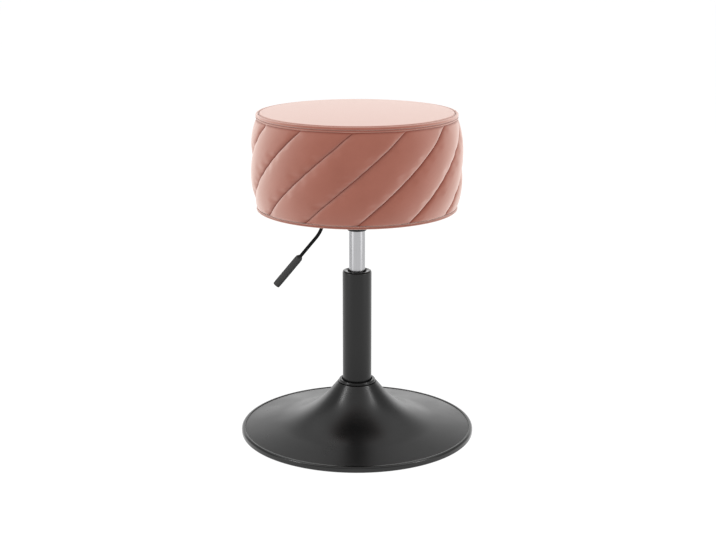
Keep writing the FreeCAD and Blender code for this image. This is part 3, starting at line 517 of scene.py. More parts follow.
class Finishes:
    """The stool's finishes, each made once and handed out by its slot."""

    def __init__(self) -> None:
        """Make one material for each slot, and the coat of the lever's rod."""
        # How marks run: the same all ways, or drawn out along the height
        even = (1.0, 1.0, 1.0)
        drawn_out = (1.0, 1.0, 0.05)
        chosen = (
            Velvet(Slot.VELVET, "dusty_rose_velvet"),
            PowderCoat(Slot.SATIN_BLACK, "satin_black_powder_coat"),
            # Glass-filled nylon from a polished mould: black, with crisp highlights on its lips.
            Moulded(Slot.GLOSS_BLACK, "gloss_black_nylon"),
            # Polypropylene from a spark-eroded mould: dark grey and matt, so the pips read softly.
            Moulded(Slot.GRIP, "grained_black_polypropylene", Tones("242424", "2F2F2F"), 0.42, 0.9, 0.06),
            # Dense rubber from a polished mould: one long soft highlight round the rim.
            Moulded(Slot.RUBBER, "black_moulded_rubber", Tones("0A0A0A", "101010"), 0.13, 1.2, 0.006),
            # Satin chrome over ground tube: pale streaks that run up the cylinder.
            Metal(Slot.CHROME, "satin_chrome_on_steel", Tones("A8A8AA", "B8B8BA"), 0.2),
            # Zinc from a barrel bath: dull bluish grey with soft even specks.
            Metal(Slot.ZINC, "zinc_plated_steel", Tones("9EA0A4", "B8BABE"), 0.34, 3.0, even, 0.02),
            # Hardened and ground steel: darker, with fine marks round the ground faces.
            Metal(Slot.BEARING, "ground_bearing_steel", Tones("8F9094", "A9AAAE"), 0.2, 0.5, drawn_out),
            # Grey iron as it comes from a sand mould: dark and gritty, with no highlight.
            Rough(Slot.CAST_IRON, "sand_cast_iron"),
            # Turned steel under a thin coat of primer: flat black over faint tool marks.
            Rough(Slot.HUB, "primed_hub_steel", Tones("1B1B1C", "232324"), 0.55, 0.9, 0.05),
            # Acetal cut from bar: milky white with a low wax-like sheen.
            Rough(Slot.ACETAL, "machined_white_acetal", Tones("D6D5CF", "E6E5E0"), 0.4, 0.7, 0.02),
            Plywood(Slot.PLYWOOD, "sanded_birch_plywood"),
            CutFoam(Slot.FOAM, "cut_polyurethane_foam"),
            Lining(Slot.LINING, "black_spunbond_lining"),
        )
        self.materials = {finish.slot: finish.build() for finish in chosen}
        # The lever's rod is dipped, not sprayed: a thicker and duller black than the powder coat.
        dipped = PowderCoat(Slot.SATIN_BLACK, "dipped_black_lever_coat", Tones("030303", "060606"), 0.38, 1.6,
                            ior=1.24)
        self.lever_coat = dipped.build()

    def of(self, slot: Slot) -> bpy.types.Material:
        """The material of a slot."""
        return self.materials[slot]


# Shapes


def meeting_point(first: Spot, first_slope: float, second: Spot, second_slope: float) -> Spot:
    """Where two lines in a plane cross.

    The first point plus an amount of the first direction equals the second point plus an
    amount of the second direction, solved for both amounts.

    Args:
        first: a point on the first line.
        first_slope: its direction, in degrees from the first axis.
        second: a point on the second line.
        second_slope: its direction, in degrees.

    Returns:
        The crossing point.
    """
    slopes = np.radians([first_slope, second_slope])
    ways = np.stack([np.cos(slopes), np.sin(slopes)])
    gap = np.array(second) - np.array(first)
    amount = float(np.linalg.solve(ways * (1.0, -1.0), gap)[0])
    return first[0] + amount * float(ways[0, 0]), first[1] + amount * float(ways[1, 0])


def rounded_line(corners: list[Corner], closed: bool = True, arc_step: float = 8.0,
                 guard: float = 0.5) -> Array:
    """A line through corners, each rounded by an arc that touches both of its runs.

    A fillet of radius r at a corner that turns by angle a starts r tan(a / 2) before the
    corner, and its centre lies r square off the line there. A guard point stands just
    outside each end of an arc, so that the straight runs stay flat when shaded smooth.

    Args:
        corners: (first, second, fillet radius) of each corner, in millimetres.
        closed: whether the last corner runs back to the first.
        arc_step: greatest turn between two points of an arc, in degrees.
        guard: how far the guard points stand from an arc, in millimetres.

    Returns:
        Points of the line, one row each.
    """
    table = np.array(corners, float)
    spots, radii = table[:, :2], table[:, 2].tolist()
    count = len(corners)
    points: list[Array] = []
    for index, radius in enumerate(radii):
        spot = spots[index]
        inner = closed or 0 < index < count - 1
        if radius <= 0 or not inner:
            points.append(spot[None])
            continue
        before = spots[index - 1] - spot
        after = spots[(index + 1) % count] - spot
        length_before, length_after = np.linalg.norm(before), np.linalg.norm(after)
        before, after = before / length_before, after / length_after
        turn = math.pi - math.acos(float(np.clip(before @ after, -1, 1)))
        reach = radius * math.tan(turn / 2)
        start, finish = spot + before * reach, spot + after * reach
        bisector = (before + after) / np.linalg.norm(before + after)
        centre = spot + bisector * radius / math.cos(turn / 2)
        steps = max(2, math.ceil(math.degrees(turn) / arc_step))
        share = np.linspace(0, 1, steps + 1)[:, None]
        from_centre, to_centre = start - centre, finish - centre
        arc = centre + (np.sin((1 - share) * turn) * from_centre
                        + np.sin(share * turn) * to_centre) / math.sin(turn)
        if length_before > reach + 2 * guard:
            points.append((start + before * guard)[None])
        points.append(arc)
        if length_after > reach + 2 * guard:
            points.append((finish + after * guard)[None])
    return np.concatenate(points)


def turned_grid(section: Array, columns: int) -> Array:
    """A half section carried once round the Z axis.

    A section point (r, z) goes to (r cos a, r sin a, z) for every azimuth a.

    Args:
        section: (radius, height) points.
        columns: steps round the axis.

    Returns:
        Grid of points: section by azimuth by three.
    """
    azimuth = np.arange(columns) * FULL_TURN / columns
    radius, height = section[:, 0, None], section[:, 1, None]
    flat = np.broadcast_to(height, (len(section), columns))
    return np.stack([radius * np.cos(azimuth), radius * np.sin(azimuth), flat], axis=-1)


def swept_grid(path: Array, radius: float, columns: int) -> Array:
    """A round bar along a path in the plane Y = 0.

    Each path point carries a circle in the plane of the path's normal n and the Y axis:
    point + radius (cos a n + sin a Y). The ends close on the path's own end points.

    Args:
        path: (x, z) points.
        radius: the bar's radius.
        columns: steps round the bar.

    Returns:
        Grid of points: path by angle by three.
    """
    way = np.gradient(path, axis=0)
    way /= np.linalg.norm(way, axis=1, keepdims=True)
    normal = np.stack([-way[:, 1], way[:, 0]], axis=1)
    angle = np.arange(columns) * FULL_TURN / columns
    across = normal[:, None, :] * np.cos(angle)[None, :, None] * radius
    points = np.empty((len(path), columns, 3))
    points[..., 0] = path[:, None, 0] + across[..., 0]
    points[..., 2] = path[:, None, 1] + across[..., 1]
    points[..., 1] = np.sin(angle) * radius
    caps = [np.broadcast_to([end[0], 0.0, end[1]], (1, columns, 3)) for end in (path[0], path[-1])]
    return np.concatenate([caps[0], points, caps[1]])


def grid_faces(rows: int, columns: int, close_rows: bool, close_columns: bool) -> Array:
    """Corner numbers of every quad of a grid of points.

    Args:
        rows: points down the grid.
        columns: points across it.
        close_rows: whether the last row joins the first.
        close_columns: whether the last column joins the first.

    Returns:
        One row of four numbers for each quad.
    """
    down = np.arange(rows if close_rows else rows - 1)[:, None]
    over = np.arange(columns if close_columns else columns - 1)[None, :]
    below, beside = (down + 1) % rows, (over + 1) % columns
    corners = [(down, over), (below, over), (below, beside), (down, beside)]
    numbers = [row * columns + column for row, column in corners]
    return np.stack(np.broadcast_arrays(*numbers), axis=-1).reshape(-1, 4)


def make_piece(name: str, points: Array, material: bpy.types.Material, close_rows: bool = True,
               close_columns: bool = True, sharp: float = 40.0, sheet: bool = False,
               crease: Array | None = None) -> bpy.types.Object:
    """Make a mesh object from a grid of points in millimetres.

    Quads join neighbours in the grid. On a closed form the sum of each face's centre dotted
    with its area normal is three times the volume, and where it is negative every quad is
    turned over. Points that coincide, as at a pole, are merged.

    Args:
        name: the piece's name.
        points: rows by columns by three.
        material: its finish.
        close_rows: whether the last row joins the first.
        close_columns: whether the last column joins the first.
        sharp: angle in degrees above which an edge is shaded sharp.
        sheet: whether the form is open, so that nothing is turned over.
        crease: how deep in a seam or fold each point lies, 0 to 1, rows by columns; the velvet darkens its
            colour there as painted shade.

    Returns:
        The new object, at the origin.
    """
    rows, columns = points.shape[:2]
    places = points.reshape(-1, 3) * MM
    faces = grid_faces(rows, columns, close_rows, close_columns)
    corners = places[faces]
    spread = np.cross(corners[:, 2] - corners[:, 0], corners[:, 3] - corners[:, 1])
    if not sheet and (corners.mean(axis=1) * spread).sum() < 0:
        faces = faces[:, ::-1]
    mesh = bpy.data.meshes.new(name)
    mesh.from_pydata(places.tolist(), [], faces.tolist())
    if crease is not None:
        layer = mesh.attributes.new("crease", "FLOAT", "POINT")
        layer.data.foreach_set("value", crease.ravel().astype(np.float32))
    shape = bmesh.new()
    shape.from_mesh(mesh)
    bmesh.ops.remove_doubles(shape, verts=shape.verts, dist=SAME_PLACE)
    bmesh.ops.dissolve_degenerate(shape, edges=shape.edges, dist=SAME_PLACE / 10)
    shape.to_mesh(mesh)
    shape.free()
    mesh.shade_smooth()
    mesh.set_sharp_from_angle(angle=math.radians(sharp))
    mesh.materials.append(material)
    piece = bpy.data.objects.new(name, mesh)
    bpy.context.scene.collection.objects.link(piece)
    return piece


@dataclass
class Assembly:
    """A group of the stool's pieces that is built and dressed together."""

    finishes: Finishes

    def place(self, piece: bpy.types.Object, body: Body, slot: Slot, node: str) -> None:
        """Let a new piece ride on its body, in place of the node that it shows.

        Args:
            piece: the finished piece.
            body: what it moves with.
            slot: its finish; not used.
            node: the node that it stands for.
        """
        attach(piece, body.value)
        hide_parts(node)
        LOG.info("%s rides on %s with %d faces", piece.name, body.value, len(piece.data.polygons))

    def turn(self, name: str, body: Body, slot: Slot, node: str, columns: int, corners: list[Corner],
             arc_step: float = 8.0) -> None:
        """Make a turned piece from its closed half section.

        Args:
            name: the piece's name.
            body: what it moves with.
            slot: its finish.
            node: the node that it stands for.
            columns: steps round the axis.
            corners: its half section, as (radius, height, fillet radius).
            arc_step: greatest turn between two points of a fillet, in degrees.
        """
        section = rounded_line(corners, arc_step=arc_step)
        piece = make_piece(name, turned_grid(section, columns), self.finishes.of(slot))
        self.place(piece, body, slot, node)

    def dress(self, slot: Slot, *nodes: str) -> None:
        """Give nodes that keep their shape their finish.

        Args:
            slot: the finish.
            nodes: the nodes' names.
        """
        for name in nodes:
            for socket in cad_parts[name].material_slots:
                socket.material = self.finishes.of(slot)
            LOG.info("%s keeps its shape in %s", name, slot.value)


# Seat


def swell_with_cloth(piece: bpy.types.Object, held: Array, pressure: float, slack: float,
                     limit: float, frames: int = 20) -> None:
    """Let the filling push a sewn cover out, as a cloth simulation without gravity.

    Each free point moves as far as the cloth settles, and no further than the limit:
    move times the smaller of 1 and limit / |move|.

    Args:
        piece: the closed cover, in its sewn shape.
        held: true for each point that the stitching holds.
        pressure: how hard the filling pushes.
        slack: by what share the cover is cut larger than its sewn shape.
        limit: longest movement, in millimetres.
        frames: length of the simulation.
    """
    group = piece.vertex_groups.new(name="sewn")
    group.add(np.flatnonzero(held).tolist(), 1.0, "REPLACE")
    # A light cover, stiff along its threads and easy to bend
    cloth = piece.modifiers.new("filling", "CLOTH")
    cloth.settings.quality = 4
    cloth.settings.mass = 0.002
    cloth.settings.tension_stiffness = 15.0
    cloth.settings.compression_stiffness = 15.0
    cloth.settings.bending_stiffness = 2.0
    cloth.settings.vertex_group_mass = group.name
    cloth.settings.shrink_min = -slack
    cloth.settings.use_pressure = True
    cloth.settings.uniform_pressure_force = pressure
    cloth.settings.effector_weights.gravity = 0.0
    cloth.collision_settings.use_collision = False
    cloth.point_cache.frame_start = 1
    cloth.point_cache.frame_end = frames
    start = mesh_points(piece.data)
    for number in range(1, frames + 1):
        bpy.context.scene.frame_set(number)
    settled = piece.evaluated_get(bpy.context.evaluated_depsgraph_get())
    move = mesh_points(settled.data) - start
    length = np.linalg.norm(move, axis=1, keepdims=True)
    LOG.info("%s swells by up to %.1f mm", piece.name, length.max() / MM)
    move *= np.minimum(1.0, limit * MM / np.maximum(length, 1e-9))
    piece.modifiers.remove(cloth)
    piece.vertex_groups.remove(group)
    bpy.context.scene.frame_set(1)
    set_mesh_points(piece.data, start + move)


def mesh_points(mesh: bpy.types.Mesh) -> Array:
    """Read the places of a mesh's points.

    Args:
        mesh: the mesh.

    Returns:
        One row of three for each point.
    """
    places = np.empty(len(mesh.vertices) * 3)
    mesh.vertices.foreach_get("co", places)
    return places.reshape(-1, 3)


def set_mesh_points(mesh: bpy.types.Mesh, places: Array) -> None:
    """Move a mesh's points to new places."""
    mesh.vertices.foreach_set("co", places.ravel())
    mesh.update()


def refine(piece: bpy.types.Object, levels: int = 1) -> None:
    """Round a piece with a subdivision surface, the same in view and render.

    Args:
        piece: the piece.
        levels: how often each face is split in four.
    """
    finer = piece.modifiers.new("finer", "SUBSURF")
    finer.levels = levels
    finer.render_levels = levels


@dataclass
class ChannelledBand(Assembly):
    """The side of the seat: velvet quilted over wadding in slanting channels.

    Sizes are in millimetres. Turns are in degrees, from -Y towards +X.
    """

    channels: int = 12
    columns_per_channel: int = 32
    channel_rows: int = 46
    channel_turn: float = 57.8
    channel_offset: float = -2.2
    band_foot: float = 403.2
    stitch_level: float = 552.6
    band_top: float = 556.5
    lining_radius: float = 160.5
    seam_radius: float = 166.4
    crest_radius: float = 169.2
    swell: float = 9.8
    seam_share: float = 0.62
    shoulder: float = 0.25
    shoulder_reach: float = 2.5
    strip_radius: float = 169.2
    crease_depth: float = 2.8
    crease_reach: float = 1.8
    crease_start: float = 0.03
    shade_reach: float = 0.9
    sewn_fullness: float = 0.85
    pressure: float = 4.0
    slack: float = 0.003
    limit: float = 5.0

    def across_channel(self) -> Array:
        """Places across one channel, denser near both seams: 0.2 t + 0.8 (1 - cos(pi t)) / 2."""
        steps = np.arange(self.columns_per_channel) / self.columns_per_channel
        return 0.2 * steps + 0.8 * (0.5 - 0.5 * np.cos(math.pi * steps))

    def seam_gap(self) -> Array:
        """Distance from the nearest seam, square to the seam.

        It is the share of the pitch, times the pitch at mid swell, times the cosine of the
        seam's lean.

        Returns:
            One distance for each column of the band.
        """
        middle = self.crest_radius + self.swell / 2
        lean = math.atan2(math.radians(self.channel_turn) * middle, self.stitch_level - self.band_foot)
        across = self.across_channel()
        gap = np.minimum(across, 1 - across) * FULL_TURN / self.channels * middle * math.cos(lean)
        return np.tile(gap, self.channels)

    def face_rise(self) -> Array:
        """Share of the channels' height at each of their rows."""
        return np.arange(self.channel_rows) / (self.channel_rows - 1)

    def edge_section(self) -> Array:
        """Rows past the channels: the flat strip over the stitching, the top and the inner wall.

        Returns:
            (radius, height) of each row.
        """
        return np.array([
            (self.seam_radius + 0.2, self.stitch_level + 0.4),
            (self.strip_radius - 0.9, self.stitch_level + 1.0),
            (self.strip_radius, self.stitch_level + 2.0),
            (self.strip_radius, self.band_top - 0.3),
            (self.strip_radius - 1.6, self.band_top + 0.3),
            (self.lining_radius + 1.0, self.band_top),
            (self.lining_radius, self.band_top - 1.0),
            (self.lining_radius, self.band_foot + 1.0),
            (self.lining_radius + 1.0, self.band_foot),
        ])

    def grid(self, fullness: float) -> Array:
        """Points of the band's closed form.

        The band swells over its edges by swell (1 - |s|^3), where s runs from -1 at the foot
        to 1 at the stitching, and its seams by a share of that. Across a channel the radius is
        the seam's plus fullness (crest - seam) times a pillow: (1 - shoulder) sin(pi t)^0.8 plus
        shoulder (1 - exp(-gap / shoulder_reach)). The azimuth of a seam leans with the height,
        and a point lies t of the pitch beyond it.

        Args:
            fullness: how far the channels stand out over their seams, 1 for the finished form.

        Returns:
            Rows by columns by three.
        """
        across = self.across_channel()
        pillow = (1 - self.shoulder) * np.tile(np.sin(math.pi * across) ** 0.8, self.channels)
        pillow = pillow + self.shoulder * (1 - np.exp(-self.seam_gap() / self.shoulder_reach))
        turns = (np.arange(self.channels)[:, None] + across[None, :]).ravel() * 360 / self.channels
        rise = self.face_rise()
        swell = self.swell * (1 - np.abs(2 * rise - 1) ** 3)
        seam = self.seam_radius + self.seam_share * swell
        crest = self.crest_radius + swell
        face_radius = seam[:, None] + fullness * (crest - seam)[:, None] * pillow[None, :]
        face_level = self.band_foot + (self.stitch_level - self.band_foot) * rise
        lean = self.channel_offset - self.channel_turn * (1 - rise)
        edge = self.edge_section()
        lean = np.concatenate([lean, np.full(len(edge) - 2, lean[-1]), np.full(2, lean[0])])
        wide = (len(edge), len(turns))
        radius = np.concatenate([face_radius, np.broadcast_to(edge[:, :1], wide)])
        level = np.concatenate([np.broadcast_to(face_level[:, None], face_radius.shape),
                                np.broadcast_to(edge[:, 1:], wide)])
        azimuth = np.radians(lean[:, None] + turns[None, :])
        return np.stack([radius * np.sin(azimuth), -radius * np.cos(azimuth), level], axis=-1)

    def pulled_in(self) -> Array:
        """How far the stitching pulls the channels in: depth exp(-gap / reach), less at both ends.

        Returns:
            Millimetres for each point of the channels, rows by columns.
        """
        rise = self.face_rise()
        ends = np.clip(np.minimum(rise, 1 - rise) / self.crease_start, 0, 1)
        return self.crease_depth * ends[:, None] * np.exp(-self.seam_gap() / self.crease_reach)[None, :]

    def crease(self) -> Array:
        """How deep in a seam each point lies, for the velvet's painted shade: exp(-gap / reach) by the
        channels' seams.

        The last row lies half in the long seam under the strip, and the strip comes out of it.

        Returns:
            0 in the open to 1 in a seam, rows by columns.
        """
        face = np.tile(np.exp(-self.seam_gap() / self.shade_reach), (self.channel_rows, 1))
        face[-1] = np.maximum(face[-1], 0.5)
        # Painted shade on the rows past the channels: some in the seam under the strip and at its top edge,
        # full on the hidden top and inner wall
        strip_and_inside = np.array([0.6, 0.2, 0.0, 0.3, 1.0, 1.0, 1.0, 1.0, 1.0])
        return np.concatenate([face, np.repeat(strip_and_inside[:, None], face.shape[1], axis=1)])

    def build(self) -> None:
        """Sew the band, swell it, pull its seams in and round it."""
        points = self.grid(self.sewn_fullness)
        piece = make_piece("velvet_side_band", points, self.finishes.of(Slot.VELVET), sharp=180.0,
                           crease=self.crease())
        held = np.ones(points.shape[:2], bool)
        held[1:self.channel_rows - 1] = self.seam_gap() == 0
        swell_with_cloth(piece, held.ravel(), self.pressure, self.slack, self.limit)
        places = mesh_points(piece.data)
        outward = places * (1.0, 1.0, 0.0)
        outward /= np.linalg.norm(outward, axis=1, keepdims=True)
        pull = np.zeros(points.shape[:2])
        pull[:self.channel_rows] = self.pulled_in() * MM
        set_mesh_points(piece.data, places - outward * pull.reshape(-1, 1))
        refine(piece)
        self.place(piece, Body.SEAT, Slot.VELVET, "side_band")


@dataclass
class SeatCover(Assembly):
    """The rest of the velvet cover: top panel, piping and rolled hem, and the foam inside.

    Sizes are in millimetres.
    """

    panel_radius: float = 164.1
    panel_level: float = 562.7
    panel_shoulder: float = 3.6
    panel_underside: float = 551.4
    panel_columns: int = 256
    flat_radius: float = 159.0
    crown: float = 2.0
    board_radius: float = 159.6
    band_top: float = 556.8
    cord_radius: float = 2.6
    piping_radius: float = 166.8
    piping_level: float = 559.2
    ring_columns: int = 384
    hem_radius: float = 170.4
    hem_foot: float = 399.4
    hem_top: float = 403.5
    hem_inside: float = 160.3
    flap_radius: float = 143.0
    flap_foot: float = 399.8
    flap_top: float = 401.95
    hem_columns: int = 480
    pleats: int = 60
    pleat_depth: float = 0.7
    pleat_reach: float = 14.0
    foam_foot: float = 417.1
    foam_top: float = 551.0

    def build(self) -> None:
        """Build every part of the cover and the foam inside it."""
        self.build_panel()
        self.build_piping()
        self.build_hem()
        self.build_foam()

    def build_panel(self) -> None:
        """Make the crowned top panel.

        Its section runs under the panel, up its edge, round the shoulder, and over a dome
        whose height is panel_level + crown (1 - (r / flat_radius)^2).
        """
        edge = rounded_line([
            (0.0, self.panel_underside, 0.0),
            (self.board_radius, self.panel_underside, 0.0),
            (self.board_radius, self.band_top, 0.0),
            (self.panel_radius - 0.4, self.band_top, 0.4),
            (self.panel_radius, self.panel_level, self.panel_shoulder),
            (self.flat_radius, self.panel_level, 0.0),
        ], closed=False)
        ring = np.linspace(self.flat_radius - 3, 0.0, 40)
        dome = np.stack([ring, self.panel_level + self.crown * (1 - (ring / self.flat_radius) ** 2)], axis=1)
        section = np.concatenate([edge, dome])
        # Painted shade down the panel's edge under its shoulder, where it meets the piping
        in_seam = np.clip((self.panel_level - 1.7 - section[:, 1]) / 2, 0, 1)
        piece = make_piece("velvet_top_panel", turned_grid(section, self.panel_columns),
                           self.finishes.of(Slot.VELVET), close_rows=False,
                           crease=np.repeat(in_seam[:, None], self.panel_columns, axis=1))
        self.place(piece, Body.SEAT, Slot.VELVET, "top_panel")

    def build_piping(self) -> None:
        """Make the velvet-covered cord round the top edge: a ring of round section.

        Its colour takes painted shade underneath, against the band, and less so inside, against the
        panel: a share that falls with the sine and the cosine of the angle round the cord.
        """
        angle = np.arange(24) * FULL_TURN / 24
        section = np.stack([self.piping_radius + self.cord_radius * np.cos(angle),
                            self.piping_level + self.cord_radius * np.sin(angle)], axis=1)
        under = 0.8 * np.clip(-np.sin(angle + 0.4) * 1.6 - 0.5, 0, 1)
        inside = 0.5 * np.clip(-np.cos(angle) * 1.6 - 0.6, 0, 1)
        crease = np.repeat(np.maximum(under, inside)[:, None], self.ring_columns, axis=1)
        piece = make_piece("velvet_piping", turned_grid(section, self.ring_columns),
                           self.finishes.of(Slot.VELVET), crease=crease)
        self.place(piece, Body.SEAT, Slot.VELVET, "top_piping")

    def build_hem(self) -> None:
        """Make the rolled lower edge and the flap that turns in under the board.

        The flap is gathered in pleats: pleat_depth exp(-(7 d)^2) deep, with d the distance from
        the nearest pleat in pleats, growing evenly inwards from the roll over pleat_reach.
        """
        corners = [
            (self.flap_radius, self.flap_foot, 0.3),
            (150.0, self.flap_foot, 0.0),
            (157.0, self.flap_foot, 0.0),
            (163.8, self.flap_foot, 1.0),
            (167.2, self.hem_foot - 0.4, 2.0),
            (self.hem_radius, self.hem_foot, 2.2),
            (self.hem_radius - 0.4, self.hem_top, 1.7),
            (self.hem_inside, self.hem_top - 0.4, 0.0),
            (self.hem_inside, self.flap_top, 0.0),
            (self.flap_radius, self.flap_top, 0.3),
        ]
        section = rounded_line(corners)
        points = turned_grid(section, self.hem_columns)
        turn = np.arange(self.hem_columns) / self.hem_columns * self.pleats
        fold = np.exp(-(np.abs(turn - np.round(turn)) * 7.0) ** 2)
        on_underside = section[:, 1] < self.flap_foot + 0.7
        inwards = on_underside * np.clip((165.0 - section[:, 0]) / self.pleat_reach, 0, 1)
        gathered = inwards[:, None] * fold
        points[..., 2] += self.pleat_depth * gathered
        # The pleats' folds take painted shade, at half their gathered share
        piece = make_piece("velvet_hem", points, self.finishes.of(Slot.VELVET), crease=0.5 * gathered)
        self.place(piece, Body.SEAT, Slot.VELVET, "bottom_hem")

    def build_foam(self) -> None:
        """Make the foam block that fills the cover, a little fuller at mid height."""
        corners = [
            (0.0, self.foam_foot, 0.0),
            (self.board_radius, self.foam_foot, 1.0),
            (self.board_radius + 0.2, 480.0, 900.0),
            (self.board_radius, self.foam_top - 0.2, 5.0),
            (0.0, self.foam_top, 0.0),
        ]
        section = rounded_line(corners, closed=False)
        piece = make_piece("foam_block", turned_grid(section, 128), self.finishes.of(Slot.FOAM),
                           close_rows=False)
        self.place(piece, Body.SEAT, Slot.FOAM, "foam_core")


@dataclass
class Underside(Assembly):
    """What is seen from below the seat: lining, seat plate, its bolts and the staples.

    Sizes are in millimetres.
    """

    edge_radius: float = 142.4
    level: float = 401.7
    columns: int = 96
    staples: int = 24
    sag: float = 0.3
    taut_radius: float = 95.0
    sag_reach: float = 45.0

    def build(self) -> None:
        """Make the lining and dress the hardware.

        The lining is flat in the middle and sags in scallops between its staples: half the sag
        times (1 + cos(staples a)), growing evenly from the taut radius outwards.
        """
        rings = np.array([0.0, 12.0, 40.0, 70.0, 95.0, 112.0, 125.0, 134.0, 139.0, self.edge_radius])
        section = np.stack([rings, np.full(len(rings), self.level)], axis=1)
        points = turned_grid(section, self.columns)
        angle = np.arange(self.columns) * FULL_TURN / self.columns
        slackness = np.clip((rings - self.taut_radius) / self.sag_reach, 0, 1)[:, None]
        points[..., 2] -= self.sag / 2 * slackness * (1 + np.cos(self.staples * angle))
        piece = make_piece("lining_sheet", points, self.finishes.of(Slot.LINING), close_rows=False,
                           sheet=True)
        self.place(piece, Body.SEAT, Slot.LINING, "dust_cover")
        self.dress(Slot.SATIN_BLACK, "mount_plate", "seat_socket")
        self.dress(Slot.ZINC, "plate_bolts", "plate_washers", "tee_nuts", "hem_staples", "lever_bracket",
                   "pivot_pin")
        self.dress(Slot.PLYWOOD, "seat_board")


# Base and gas lift


@dataclass
class TrumpetBase(Assembly):
    """The spun base with its rim ring, neck collar, weight, hub and cover.

    Sizes are in millimetres.
    """

    neck: Spot = (33.6, 89.3)
    neck_slope: float = -50.6
    rim: Spot = (196.6, 9.2)
    rim_slope: float = -9.0
    flare: float = 150.0
    sheet: float = 1.5
    skirt_foot: float = 3.0
    ring_radius: float = 203.0
    ring_height: float = 10.0
    ring_bore: float = 188.0
    collar_bore: float = 26.6
    collar_foot: float = 86.0
    collar_top: float = 94.2
    spigot_radius: float = 32.2
    groove_radius: float = 30.4
    groove_foot: float = 89.3
    groove_top: float = 90.3

    def build(self) -> None:
        """Build the turned pieces and dress the rest."""
        self.build_shell()
        self.build_ring()
        self.build_collar()
        self.dress(Slot.CAST_IRON, "base_weight")
        self.dress(Slot.HUB, "hub_socket")
        self.dress(Slot.SATIN_BLACK, "base_plate")
        self.dress(Slot.ZINC, "hub_bolts", "hub_washers", "cover_screws", "column_end_plate")
        self.dress(Slot.BEARING, "lower_race", "upper_race", "bearing_balls")
        self.dress(Slot.ACETAL, "ball_cage")

    def build_shell(self) -> None:
        """Make the trumpet: neck line and rim line joined by the flare's arc, with a wall inside.

        The inner wall is the outer line moved inwards by the sheet's thickness, square to it,
        and at the bend by that over the cosine of half the turn.
        """
        bend = meeting_point(self.neck, self.neck_slope, self.rim, self.rim_slope)
        spots = np.array([self.neck, bend, self.rim])
        slopes = np.radians([self.neck_slope, (self.neck_slope + self.rim_slope) / 2, self.rim_slope])
        half_turn = math.radians((self.rim_slope - self.neck_slope) / 2)
        reach = self.sheet / np.array([1.0, math.cos(half_turn), 1.0])
        inner = spots + reach[:, None] * np.stack([np.sin(slopes), -np.cos(slopes)], axis=1)
        inner_neck, inner_bend, inner_rim = inner.tolist()
        skirt = self.rim[0] - self.sheet
        self.turn("trumpet_shell", Body.BASE, Slot.SATIN_BLACK, "base_shell", 320, [
            (*self.neck, 0.4),
            (*bend, self.flare),
            (*self.rim, 0.9),
            (self.rim[0], self.skirt_foot, 0.0),
            (skirt, self.skirt_foot, 0.0),
            (skirt, inner_rim[1] + 0.1, 0.0),
            (*inner_bend, self.flare + self.sheet),
            (*inner_neck, 0.4),
        ], arc_step=1.2)

    def build_ring(self) -> None:
        """Make the rubber rim: a lip under the skirt and a rounded band proud of it."""
        self.turn("rubber_rim", Body.BASE, Slot.RUBBER, "edge_ring", 384, [
            (self.ring_bore, 0.0, 0.3),
            (self.ring_radius, 0.0, 2.0),
            (self.ring_radius, self.ring_height, 3.7),
            (self.rim[0], self.ring_height, 1.0),
            (self.rim[0], self.skirt_foot, 0.0),
            (self.ring_bore, self.skirt_foot, 0.3),
        ])

    def build_collar(self) -> None:
        """Make the moulded collar: spigot inside the neck, groove and rounded shoulder."""
        self.turn("neck_collar", Body.BASE, Slot.GLOSS_BLACK, "neck_ring", 160, [
            (self.collar_bore, self.collar_foot, 0.0),
            (self.spigot_radius, self.collar_foot, 0.0),
            (self.spigot_radius, self.groove_foot - 0.6, 0.0),
            (self.groove_radius, self.groove_foot, 0.2),
            (self.groove_radius, self.groove_top, 0.2),
            (self.spigot_radius + 0.4, self.groove_top, 0.4),
            (self.spigot_radius - 1.2, self.collar_top, 2.1),
            (self.collar_bore, self.collar_top, 0.6),
        ])


